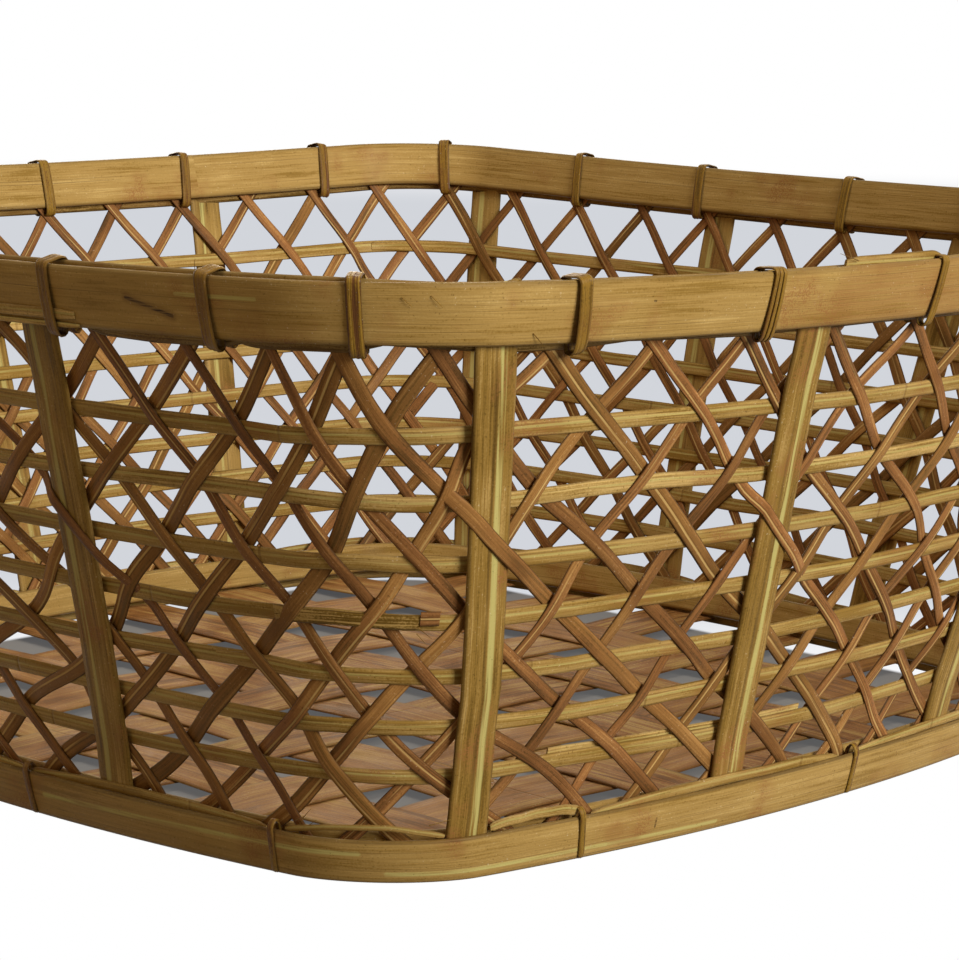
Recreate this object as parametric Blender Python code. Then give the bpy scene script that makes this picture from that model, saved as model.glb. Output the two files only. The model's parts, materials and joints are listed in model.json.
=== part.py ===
"""Square open-weave rattan basket, in metres, +Z up.

The origin is on the ground under the middle of the basket. A place round the wall is a share of
the way round it: 0 is the middle of the front left corner, and it grows along the front (-Y)
side to the right. A height is measured at the middle of a side, where the rim is lowest. An
inset is a level distance inwards from the outer faces of the rim and base hoops.
"""

import math

import bmesh
import bpy
import numpy as np

# Outline over the hoops, at the rim and at the ground
RIM_LENGTH = 0.474
RIM_WIDTH = 0.466
RIM_CORNER_RADIUS = 0.040
RIM_SIDE_BOW = 0.018
BASE_LENGTH = 0.378
BASE_WIDTH = 0.374
BASE_CORNER_RADIUS = 0.032
BASE_SIDE_BOW = 0.020
RIM_HEIGHT = 0.178
CORNER_LIFT = 0.0048

# Clearances between pieces that touch on the real basket
SEAT_GAP = 0.0004
UNION_OVERLAP = 0.0003

# Rim hoops and the filler strip between them, which holds the splints' upper ends
RIM_HOOP_HEIGHT = 0.0183
RIM_HOOP_THICKNESS = 0.0024
INNER_RIM_THICKNESS = 0.0020
INNER_RIM_RISE = 0.0008
FILLER_HEIGHT = 0.0166
FILLER_DROP = 0.0008

# Upright stakes outside the weave
STAKE_WIDTH = 0.0145
STAKE_FOOT_WIDTH = 0.0140
STAKE_THICKNESS = 0.0015
STAKE_TOP_DROP = 0.0015
STAKE_FOOT_HEIGHT = 0.0044

# Rows, the level strips in the middle of the weave; the top one lies below the rim filler and the
# lowest one above the base hoop
ROW_COUNT = 7
TOP_ROW_DROP = 0.0241
LOWEST_ROW_RISE = 0.0189
ROW_PITCH_SHRINK_SHARE = 0.955
ROW_WIDTH = 0.0050
ROW_THICKNESS = 0.0008

# Slanting splints, which pass over one row and under the next
SPLINTS_EACH_WAY = 48
SPLINT_WIDTH = 0.0052
SPLINT_THICKNESS = 0.0008
SPLINT_SWING = 0.0020
SPLINT_END_SWING = 0.0012
SPLINT_START_SHARE = -0.003
SPLINT_TOP_GRIP = 0.0015
SPLINT_BEND_HEIGHT = 0.0170
SPLINT_FOOT_HEIGHT = 0.0058

# Lean of the whole weave to the right on the front wall, gained in each row on the way down
WEAVE_LEAN_SHARE = 0.0019
WEAVE_LEAN_PLACE_SHARES = (-0.03, 0.03, 0.17, 0.24)
WEAVE_LEAN_AMOUNT_SHARES = (0.0, 1.0, 1.0, 0.0)

# Base hoops and the flat woven floor
BASE_HOOP_HEIGHT = 0.0146
BASE_HOOP_THICKNESS = 0.0024
INNER_BASE_THICKNESS = 0.0020
INNER_BASE_TOP_HEIGHT = 0.0160
FLOOR_UNDERSIDE_HEIGHT = 0.0016
FLOOR_THICKNESS = 0.0022
FLOOR_STRIPS_EACH_WAY = 8
FLOOR_STRIP_WIDTH = 0.0300
FLOOR_STRIP_PITCH = 0.0495

# Rails on the base hoop's inner edge, one between each stake and the next
BASE_RAIL_LOW_HEIGHT = 0.0106
BASE_RAIL_TOP_HEIGHT = 0.0180
BASE_RAIL_END_GAP = 0.0008

# Lashings over the rim hoops, and the narrow ties on the base hoop
LASHING_WIDTH = 0.0045
LASHING_THICKNESS = 0.0009
LASHING_TUCK = 0.0018
BASE_TIE_WIDTH = 0.0030
BASE_TIE_THICKNESS = 0.0007
BASE_TIE_FOOT_HEIGHT = 0.0006

# Places round the basket, laid by hand as on a hand-made basket
STAKE_PLACE_SHARES = (
    0.0197, 0.0950, 0.1755, 0.2530, 0.3300, 0.4054, 0.4806,
    0.5665, 0.6400, 0.7130, 0.7850, 0.8560, 0.9276,
)
RIM_LASHING_PLACE_SHARES = (
    0.0364, 0.0805, 0.1247, 0.1697, 0.2103, 0.2510, 0.2917, 0.3300, 0.3672, 0.4117,
    0.4499, 0.4936, 0.5316, 0.5746, 0.6166, 0.6530, 0.6925, 0.7319, 0.7713, 0.8107,
    0.8502, 0.8902, 0.9317, 0.9675, 0.9955,
)
BASE_TIE_PLACE_SHARES = (
    0.0535, 0.1456, 0.2260, 0.3090, 0.3920, 0.4750,
    0.5600, 0.6430, 0.7270, 0.8110, 0.8960, 0.9711,
)

# Halves of the four walls, in their order round the basket; each half's splints are one piece
WALL_WEAVE_NAMES = (
    "front_left", "front_right", "right_front", "right_back",
    "back_right", "back_left", "left_back", "left_front",
)

# Steps along curves
CORNER_STEPS = 6
SIDE_STEPS = 8
STAKE_STEPS = 3
FINE_CORNER_STEPS = 40
FINE_SIDE_STEPS = 60

# Depth of each layer of the wall, from the outer face inwards
STAKE_INSET = RIM_HOOP_THICKNESS + SEAT_GAP
WEAVE_INSET = STAKE_INSET + STAKE_THICKNESS + SEAT_GAP + SPLINT_SWING + SPLINT_THICKNESS / 2
INNER_HOOP_INSET = WEAVE_INSET + SPLINT_SWING + SPLINT_THICKNESS / 2 + SEAT_GAP
FILLER_HALF_THICKNESS = SPLINT_SWING + SPLINT_THICKNESS / 2 - SEAT_GAP

CANE_TAN = (0.42, 0.29, 0.10)
CANE_OLIVE = (0.34, 0.25, 0.08)
CANE_BROWN = (0.28, 0.15, 0.06)
CANE_DARK = (0.22, 0.15, 0.05)
CANE_ROUGHNESS = 0.5


class WallSurface:
    """The outer face of the wall: a bowed, round-cornered square that narrows towards the ground."""

    def __init__(self):
        self.levels = {}

    @staticmethod
    def plan_at(height):
        """Half length, half width, corner radius and side bow of the outline at a height."""
        share = height / RIM_HEIGHT
        bow = BASE_SIDE_BOW + (RIM_SIDE_BOW - BASE_SIDE_BOW) * share
        half_length = (BASE_LENGTH + (RIM_LENGTH - BASE_LENGTH) * share) / 2 - bow
        half_width = (BASE_WIDTH + (RIM_WIDTH - BASE_WIDTH) * share) / 2 - bow
        radius = BASE_CORNER_RADIUS + (RIM_CORNER_RADIUS - BASE_CORNER_RADIUS) * share
        return half_length, half_width, radius, bow

    def outline(self, height, side_steps, corner_steps):
        """Points of the outline from the middle of the front left corner, and how near a corner."""
        half_length, half_width, radius, bow = self.plan_at(height)
        signs = ((-1, -1), (1, -1), (1, 1), (-1, 1))
        arcs = []
        for turn, (side_x, side_y) in enumerate(signs):
            angles = math.pi * (1 + turn / 2) + np.arange(corner_steps + 1) / corner_steps * math.pi / 2
            centre = np.array([side_x * (half_length - radius), side_y * (half_width - radius)])
            arcs.append(centre + radius * np.stack([np.cos(angles), np.sin(angles)], axis=1))
        runs = []
        for turn, arc in enumerate(arcs):
            runs.append(arc[:-1])
            start, end = arc[-1], arcs[(turn + 1) % len(arcs)][0]
            shares = np.arange(side_steps)[:, None] / side_steps
            runs.append(start + (end - start) * shares)
        square = np.roll(np.concatenate(runs), -corner_steps // 2, axis=0)
        along = square / np.array([half_length, half_width])
        bulge = bow * (1 - along[:, ::-1] ** 2)
        nearness = (np.abs(along[:, 0]) * np.abs(along[:, 1])) ** 2
        return square + along * bulge, nearness

    def level(self, height):
        """Place, x, y, outward normal and corner nearness along the fine outline at a height."""
        key = round(height, 7)
        if key not in self.levels:
            points, nearness = self.outline(height, FINE_SIDE_STEPS, FINE_CORNER_STEPS)
            ahead, behind = np.roll(points, -1, axis=0), np.roll(points, 1, axis=0)
            tangent = ahead - behind
            tangent /= np.linalg.norm(tangent, axis=1)[:, None]
            steps = np.linalg.norm(ahead - points, axis=1)
            places = np.concatenate([[0.0], np.cumsum(steps)])
            columns = np.column_stack([points, tangent[:, 1], -tangent[:, 0], nearness])
            columns = np.concatenate([columns, columns[:1]])
            self.levels[key] = (places / places[-1], columns, places[-1])
        return self.levels[key]

    def length_round(self, height):
        """Distance round the outline at a height."""
        return self.level(height)[2]

    def point(self, place, height, inset):
        """The point at a place, height and inset."""
        places, columns, _ = self.level(height)
        x, y, out_x, out_y, nearness = (
            float(np.interp(place % 1.0, places, columns[:, column])) for column in range(5)
        )
        lift = CORNER_LIFT * (height / RIM_HEIGHT) ** 2 * nearness
        return (x - out_x * inset, y - out_y * inset, height + lift)

    def hoop_places(self, height):
        """Places of a hoop's points, close together on the corners."""
        points, _ = self.outline(height, SIDE_STEPS, CORNER_STEPS)
        steps = np.linalg.norm(np.roll(points, -1, axis=0) - points, axis=1)
        return np.concatenate([[0.0], np.cumsum(steps)[:-1]]) / steps.sum()


WALL = WallSurface()


def row_height(row):
    """Height of the middle of a row, counted from 0 at the top; the pitch shrinks downwards."""
    top = RIM_HEIGHT - FILLER_DROP - FILLER_HEIGHT - TOP_ROW_DROP
    lowest = BASE_HOOP_HEIGHT + LOWEST_ROW_RISE
    shrink = ROW_PITCH_SHRINK_SHARE
    return top + (lowest - top) * (1 - shrink**row) / (1 - shrink ** (ROW_COUNT - 1))


def cane_material(name, colour):
    """A plain cane material."""
    material = bpy.data.materials.get(name) or bpy.data.materials.new(name)
    material.use_nodes = True
    shader = material.node_tree.nodes["Principled BSDF"]
    shader.inputs["Base Color"].default_value = (*colour, 1.0)
    shader.inputs["Roughness"].default_value = CANE_ROUGHNESS
    shader.inputs["Metallic"].default_value = 0.0
    material.diffuse_color = (*colour, 1.0)
    return material


def solid_from_sections(name, sections, closed, colour):
    """One closed solid skinned over a row of like sections, which meet end to start when closed."""
    mesh = bmesh.new()
    rings = [[mesh.verts.new(point) for point in section] for section in sections]
    corners = len(rings[0])
    for index in range(len(rings) if closed else len(rings) - 1):
        first, second = rings[index], rings[(index + 1) % len(rings)]
        for corner in range(corners):
            following = (corner + 1) % corners
            mesh.faces.new((first[corner], second[corner], second[following], first[following]))
    if not closed:
        mesh.faces.new(rings[0])
        mesh.faces.new(rings[-1])
    bmesh.ops.recalc_face_normals(mesh, faces=mesh.faces)
    return object_from_bmesh(name, mesh, colour)


def object_from_bmesh(name, mesh, colour):
    """The named object of a bmesh, shaded smooth over its gentle curves."""
    data = bpy.data.meshes.new(name)
    mesh.to_mesh(data)
    mesh.free()
    data.shade_smooth()
    data.set_sharp_from_angle(angle=math.radians(35))
    piece = bpy.data.objects.new(name, data)
    bpy.context.scene.collection.objects.link(piece)
    data.materials.append(cane_material(f"{name}_cane", colour))
    return piece


def combine(piece, others, operation):
    """Join or cut a piece with others by exact Booleans, and remove the others."""
    for other in others:
        boolean = piece.modifiers.new("combine", "BOOLEAN")
        boolean.operation = operation
        boolean.solver = "EXACT"
        boolean.object = other
        graph = bpy.context.evaluated_depsgraph_get()
        result = bpy.data.meshes.new_from_object(piece.evaluated_get(graph))
        piece.modifiers.clear()
        piece.data = result
        bpy.data.objects.remove(other, do_unlink=True)
    return piece


def hoop_section(place, low, high, outer_inset, inner_inset):
    """Rectangular section of a hoop or strip at a place."""
    return [
        WALL.point(place, low, outer_inset),
        WALL.point(place, low, inner_inset),
        WALL.point(place, high, inner_inset),
        WALL.point(place, high, outer_inset),
    ]


def closed_hoop(name, low, high, outer_inset, thickness, colour):
    """A flat hoop that goes all the way round the wall."""
    places = WALL.hoop_places((low + high) / 2)
    sections = [hoop_section(place, low, high, outer_inset, outer_inset + thickness) for place in places]
    return solid_from_sections(name, sections, True, colour)


def places_between(start, end, height):
    """Hoop places from one place to the next, with both ends."""
    turns = [place + turn for turn in (-1, 0, 1) for place in WALL.hoop_places(height)]
    closeness = SEAT_GAP / WALL.length_round(height)
    inside = [place for place in turns if start + closeness < place < end - closeness]
    return [start, *inside, end]


def weaver_row(number):
    """A row: a strip flat on its outer face and ridged behind, in the middle of the weave."""
    height = row_height(number - 1)
    low, high = height - ROW_WIDTH / 2, height + ROW_WIDTH / 2
    outer = WEAVE_INSET - ROW_THICKNESS / 2
    sections = [
        [
            WALL.point(place, low, outer),
            WALL.point(place, height, outer + ROW_THICKNESS),
            WALL.point(place, high, outer),
        ]
        for place in WALL.hoop_places(height)
    ]
    return solid_from_sections(f"weaver_row_{number}", sections, True, CANE_TAN)


def splint_place(start, direction, row):
    """Place of a splint at a row, counted from 0 at the top, with the lean of the weave there."""
    place = start + direction * (row + 1) / (2 * SPLINTS_EACH_WAY)
    nearest = (place + 1 / 2) % 1.0 - 1 / 2
    amount = float(np.interp(nearest, WEAVE_LEAN_PLACE_SHARES, WEAVE_LEAN_AMOUNT_SHARES))
    return place + WEAVE_LEAN_SHARE * max(row, 0) * amount


def splint_stations(direction):
    """Height, row number and outward swing of a splint at its ends and at each row."""
    heights = [row_height(row) for row in range(ROW_COUNT)]
    top = RIM_HEIGHT - FILLER_DROP - FILLER_HEIGHT + SPLINT_TOP_GRIP
    rise = (top - heights[0]) / (heights[0] - heights[1])
    stations = [(top, -rise, direction * SPLINT_END_SWING)]
    over = direction
    for row, height in enumerate(heights):
        stations.append((height, row, over * SPLINT_SWING))
        over = -over
    for height, swing in ((SPLINT_BEND_HEIGHT, SPLINT_SWING), (SPLINT_FOOT_HEIGHT, SPLINT_END_SWING)):
        fall = (heights[-1] - height) / (heights[-2] - heights[-1])
        stations.append((height, ROW_COUNT - 1 + fall, -over * swing))
    return stations


def splint(name, start, direction):
    """A slanting splint, woven over and under the rows from the rim filler to the base."""
    top_pitch = row_height(0) - row_height(1)
    lean = WALL.length_round(row_height(0) / 2) / (2 * SPLINTS_EACH_WAY * top_pitch)
    level_width = SPLINT_WIDTH * math.sqrt(1 + lean**2)
    sections = []
    for height, row, swing in splint_stations(direction):
        half = level_width / 2 / WALL.length_round(height)
        inset = WEAVE_INSET - swing
        outer, inner = inset - SPLINT_THICKNESS / 2, inset + SPLINT_THICKNESS / 2
        place = splint_place(start, direction, row)
        sections.append(
            [
                WALL.point(place - half, height, outer),
                WALL.point(place + half, height, outer),
                WALL.point(place + half, height, inner),
                WALL.point(place - half, height, inner),
            ]
        )
    return solid_from_sections(name, sections, False, CANE_BROWN)


def wall_weave(name, share):
    """One share of the slanting splints, both ways, held by their length of the rim filler."""
    shares = len(WALL_WEAVE_NAMES)
    low = RIM_HEIGHT - FILLER_DROP - FILLER_HEIGHT
    high = RIM_HEIGHT - FILLER_DROP
    first = share / shares + SPLINT_START_SHARE + 1 / (4 * SPLINTS_EACH_WAY)
    gap = SEAT_GAP / 2 / WALL.length_round(high)
    sections = [
        hoop_section(
            place, low, high, WEAVE_INSET - FILLER_HALF_THICKNESS, WEAVE_INSET + FILLER_HALF_THICKNESS
        )
        for place in places_between(first + gap, first + 1 / shares - gap, high)
    ]
    filler = solid_from_sections(name, sections, False, CANE_BROWN)
    splints = []
    for index in range(SPLINTS_EACH_WAY // shares):
        place = first + (index + 1 / 2) / SPLINTS_EACH_WAY
        for direction in (1, -1):
            splints.append(splint(f"{name}_splint", place, direction))
    return combine(filler, splints, "UNION")


def stake(number, place):
    """An upright flat stake between the rim hoop and the weave."""
    sections = []
    rise = RIM_HEIGHT - STAKE_TOP_DROP - STAKE_FOOT_HEIGHT
    for step in range(STAKE_STEPS + 1):
        share = step / STAKE_STEPS
        height = STAKE_FOOT_HEIGHT + rise * share
        width = STAKE_FOOT_WIDTH + (STAKE_WIDTH - STAKE_FOOT_WIDTH) * share
        half = width / 2 / WALL.length_round(height)
        across = (place - half, place, place + half)
        outer = [WALL.point(edge, height, STAKE_INSET) for edge in across]
        inner = [WALL.point(edge, height, STAKE_INSET + STAKE_THICKNESS) for edge in reversed(across)]
        sections.append(outer + inner)
    return solid_from_sections(f"stake_{number:02d}", sections, False, CANE_TAN)


def offset_route(route, distance):
    """A flat route moved sideways by a distance, with mitred corners."""
    points = np.array(route)
    runs = np.diff(points, axis=0)
    runs /= np.linalg.norm(runs, axis=1)[:, None]
    normals = np.stack([runs[:, 1], -runs[:, 0]], axis=1)
    moved = [points[0] + normals[0] * distance]
    for index in range(1, len(points) - 1):
        mitre = normals[index - 1] + normals[index]
        moved.append(points[index] + mitre * distance / (1 + normals[index - 1] @ normals[index]))
    moved.append(points[-1] + normals[-1] * distance)
    return moved


def strip_on_route(name, place, width, thickness, route, level_height, colour):
    """A strip of a width that follows a route of insets and heights at one place."""
    half = width / 2 / WALL.length_round(level_height)
    near, far = offset_route(route, thickness / 2), offset_route(route, -thickness / 2)
    sections = [
        [
            WALL.point(place - half, near_height, near_inset),
            WALL.point(place + half, near_height, near_inset),
            WALL.point(place + half, far_height, far_inset),
            WALL.point(place - half, far_height, far_inset),
        ]
        for (near_inset, near_height), (far_inset, far_height) in zip(near, far)
    ]
    return solid_from_sections(name, sections, False, colour)


def rim_lashing(number, place):
    """A lashing over both rim hoops, its ends tucked under their lower edges."""
    stand_off = SEAT_GAP + LASHING_THICKNESS / 2
    inner_face = INNER_HOOP_INSET + INNER_RIM_THICKNESS
    top = RIM_HEIGHT + INNER_RIM_RISE + stand_off
    outer_foot = RIM_HEIGHT - RIM_HOOP_HEIGHT - stand_off
    inner_foot = outer_foot + INNER_RIM_RISE
    route = [
        (LASHING_TUCK, outer_foot),
        (-stand_off, outer_foot),
        (-stand_off, top),
        (inner_face + stand_off, top),
        (inner_face + stand_off, inner_foot),
        (inner_face - LASHING_TUCK, inner_foot),
    ]
    name = f"rim_lashing_{number:02d}"
    return strip_on_route(name, place, LASHING_WIDTH, LASHING_THICKNESS, route, RIM_HEIGHT, CANE_DARK)


def base_tie(place):
    """A narrow tie over the base hoop's outer face and top edge, joined to the hoop."""
    sink = BASE_TIE_THICKNESS / 2 - UNION_OVERLAP
    route = [
        (-sink, BASE_TIE_FOOT_HEIGHT),
        (-sink, BASE_HOOP_HEIGHT + sink),
        (BASE_HOOP_THICKNESS - UNION_OVERLAP, BASE_HOOP_HEIGHT + sink),
    ]
    return strip_on_route(
        "base_tie", place, BASE_TIE_WIDTH, BASE_TIE_THICKNESS, route, BASE_HOOP_HEIGHT, CANE_DARK
    )


def base_rail(start, end):
    """A rail between two stakes, joined to the base hoop's inner edge."""
    length_round = WALL.length_round(BASE_RAIL_TOP_HEIGHT)
    clear = (STAKE_WIDTH / 2 + BASE_RAIL_END_GAP) / length_round
    inner = STAKE_INSET + STAKE_THICKNESS
    sections = [
        hoop_section(
            place, BASE_RAIL_LOW_HEIGHT, BASE_RAIL_TOP_HEIGHT, BASE_HOOP_THICKNESS - UNION_OVERLAP, inner
        )
        for place in places_between(start + clear, end - clear, BASE_RAIL_TOP_HEIGHT)
    ]
    return solid_from_sections("base_rail", sections, False, CANE_TAN)


def floor_weave():
    """The flat floor: wide strips crossing at right angles, cut to the base hoop's inside."""
    count = FLOOR_STRIPS_EACH_WAY
    top = FLOOR_UNDERSIDE_HEIGHT + FLOOR_THICKNESS
    edges = []
    for index in range(count):
        middle = (index - (count - 1) / 2) * FLOOR_STRIP_PITCH
        edges += [middle - FLOOR_STRIP_WIDTH / 2, middle + FLOOR_STRIP_WIDTH / 2]
    mesh = bmesh.new()
    grid = {
        (column, row): mesh.verts.new((x, y, FLOOR_UNDERSIDE_HEIGHT))
        for column, x in enumerate(edges)
        for row, y in enumerate(edges)
    }
    for column in range(len(edges) - 1):
        for row in range(len(edges) - 1):
            if column % 2 == 0 or row % 2 == 0:
                around = ((0, 0), (1, 0), (1, 1), (0, 1))
                mesh.faces.new([grid[column + right, row + up] for right, up in around])
    raised = bmesh.ops.extrude_face_region(mesh, geom=list(mesh.faces))
    upper = [item for item in raised["geom"] if isinstance(item, bmesh.types.BMVert)]
    bmesh.ops.translate(mesh, verts=upper, vec=(0.0, 0.0, FLOOR_THICKNESS))
    bmesh.ops.recalc_face_normals(mesh, faces=mesh.faces)
    floor = object_from_bmesh("floor_weave", mesh, CANE_BROWN)
    inset = BASE_HOOP_THICKNESS + SEAT_GAP
    places = WALL.hoop_places(top)
    sections = [
        [
            (*WALL.point(place, FLOOR_UNDERSIDE_HEIGHT, inset)[:2], level)
            for place in places
        ]
        for level in (FLOOR_UNDERSIDE_HEIGHT - FLOOR_THICKNESS, top + FLOOR_THICKNESS)
    ]
    plate = solid_from_sections("floor_outline", sections, False, CANE_BROWN)
    return combine(floor, [plate], "INTERSECT")


def build_basket():
    """Every piece of the basket, each its own object."""
    rim_low = RIM_HEIGHT - RIM_HOOP_HEIGHT
    closed_hoop("rim_outer_hoop", rim_low, RIM_HEIGHT, 0.0, RIM_HOOP_THICKNESS, CANE_TAN)
    closed_hoop(
        "rim_inner_hoop",
        rim_low + INNER_RIM_RISE,
        RIM_HEIGHT + INNER_RIM_RISE,
        INNER_HOOP_INSET,
        INNER_RIM_THICKNESS,
        CANE_TAN,
    )
    base_hoop = closed_hoop("base_outer_hoop", 0.0, BASE_HOOP_HEIGHT, 0.0, BASE_HOOP_THICKNESS, CANE_TAN)
    next_stakes = (*STAKE_PLACE_SHARES[1:], STAKE_PLACE_SHARES[0] + 1)
    rails = [base_rail(start, end) for start, end in zip(STAKE_PLACE_SHARES, next_stakes)]
    ties = [base_tie(place) for place in BASE_TIE_PLACE_SHARES]
    combine(base_hoop, rails + ties, "UNION")
    closed_hoop(
        "base_inner_hoop",
        FLOOR_UNDERSIDE_HEIGHT + FLOOR_THICKNESS + SEAT_GAP,
        INNER_BASE_TOP_HEIGHT,
        INNER_HOOP_INSET,
        INNER_BASE_THICKNESS,
        CANE_OLIVE,
    )
    floor_weave()
    for number in range(1, ROW_COUNT + 1):
        weaver_row(number)
    for share, name in enumerate(WALL_WEAVE_NAMES):
        wall_weave(f"{name}_splints", share)
    for number, place in enumerate(STAKE_PLACE_SHARES, start=1):
        stake(number, place)
    for number, place in enumerate(RIM_LASHING_PLACE_SHARES, start=1):
        rim_lashing(number, place)


for leftover in list(bpy.data.objects):
    bpy.data.objects.remove(leftover, do_unlink=True)
build_basket()
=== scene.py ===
"""The looks of a square open-weave cane basket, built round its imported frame.

Everything is in metres, +Z up, with the origin on the ground under the basket. A place round the
wall is a share of the way round it, 0 at the middle of the front left corner and growing along
the front (-Y) side. A height is measured at the middle of a side. An inset is the depth inwards
from the outer face of the rim and base hoops.
"""

import json
import logging
import math
from collections.abc import Callable
from dataclasses import dataclass, field, fields, replace
from enum import Enum
from typing import ClassVar

import bpy
import numpy as np
from mathutils import Matrix, Vector


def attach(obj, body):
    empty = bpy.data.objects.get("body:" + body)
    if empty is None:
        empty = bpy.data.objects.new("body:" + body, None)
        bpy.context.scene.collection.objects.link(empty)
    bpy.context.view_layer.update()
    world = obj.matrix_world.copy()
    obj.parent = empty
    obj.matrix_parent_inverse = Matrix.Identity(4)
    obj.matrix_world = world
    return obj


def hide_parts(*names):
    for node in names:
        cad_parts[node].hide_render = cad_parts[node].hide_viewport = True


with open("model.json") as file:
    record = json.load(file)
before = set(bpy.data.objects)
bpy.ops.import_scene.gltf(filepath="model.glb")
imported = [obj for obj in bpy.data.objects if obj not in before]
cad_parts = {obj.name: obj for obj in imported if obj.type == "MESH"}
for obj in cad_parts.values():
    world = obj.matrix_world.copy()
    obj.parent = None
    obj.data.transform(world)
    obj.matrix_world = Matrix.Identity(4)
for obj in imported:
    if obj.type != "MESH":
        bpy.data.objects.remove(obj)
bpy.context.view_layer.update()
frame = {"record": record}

logging.basicConfig(level=logging.INFO, format="%(message)s")
LOG = logging.getLogger("basket")

BODY = "root"
MM = 0.001


# ---------------------------------------------------------------- node graphs


def operator(operation: str, flipped: bool = False) -> Callable[["Value", "Value | float"], "Value"]:
    """An operator of Value, which adds one Math node.

    Args:
        operation: The node's operation.
        flipped: Whether the other number comes first.

    Returns:
        The method.
    """

    def method(self: "Value", other: "Value | float") -> "Value":
        """The node's output."""
        return self.graph.maths(operation, *((other, self) if flipped else (self, other)))

    return method


class Value:
    """A number on a node's socket, to which Python's operators add Math nodes."""

    __add__, __radd__ = operator("ADD"), operator("ADD", flipped=True)
    __sub__, __rsub__ = operator("SUBTRACT"), operator("SUBTRACT", flipped=True)
    __mul__, __rmul__ = operator("MULTIPLY"), operator("MULTIPLY", flipped=True)
    __truediv__, __rtruediv__ = operator("DIVIDE"), operator("DIVIDE", flipped=True)
    __pow__, __rpow__ = operator("POWER"), operator("POWER", flipped=True)

    def __init__(self, graph: "Graph", socket: bpy.types.NodeSocket) -> None:
        """Wraps an output socket of a graph's node."""
        self.graph = graph
        self.socket = socket

    def then(self, operation: str, *others: "Value | float") -> "Value":
        """Adds one Math node with this number as its first input."""
        return self.graph.maths(operation, self, *others)

    def __abs__(self) -> "Value":
        """Size without sign."""
        return self.then("ABSOLUTE")

    def sign(self) -> "Value":
        """-1, 0 or 1."""
        return self.then("SIGN")

    def clamp(self) -> "Value":
        """The number kept between 0 and 1."""
        return self.graph.maths("ADD", self, 0.0, clamp=True)

    def rise(self, low: float, high: float) -> "Value":
        """A smooth step.

        Args:
            low: Where the result is 0.
            high: Where the result is 1.

        Returns:
            The step's height.
        """
        ends = {"Value": self, "From Min": low, "From Max": high}
        return self.graph.value("ShaderNodeMapRange", {"interpolation_type": "SMOOTHSTEP"}, ends)

    def bump_at(self, middle: "Value | float", reach: float) -> "Value":
        """A smooth bump, 1 at the middle and 0 from the reach on."""
        return 1.0 - abs(self - middle).rise(0.0, reach)


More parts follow.
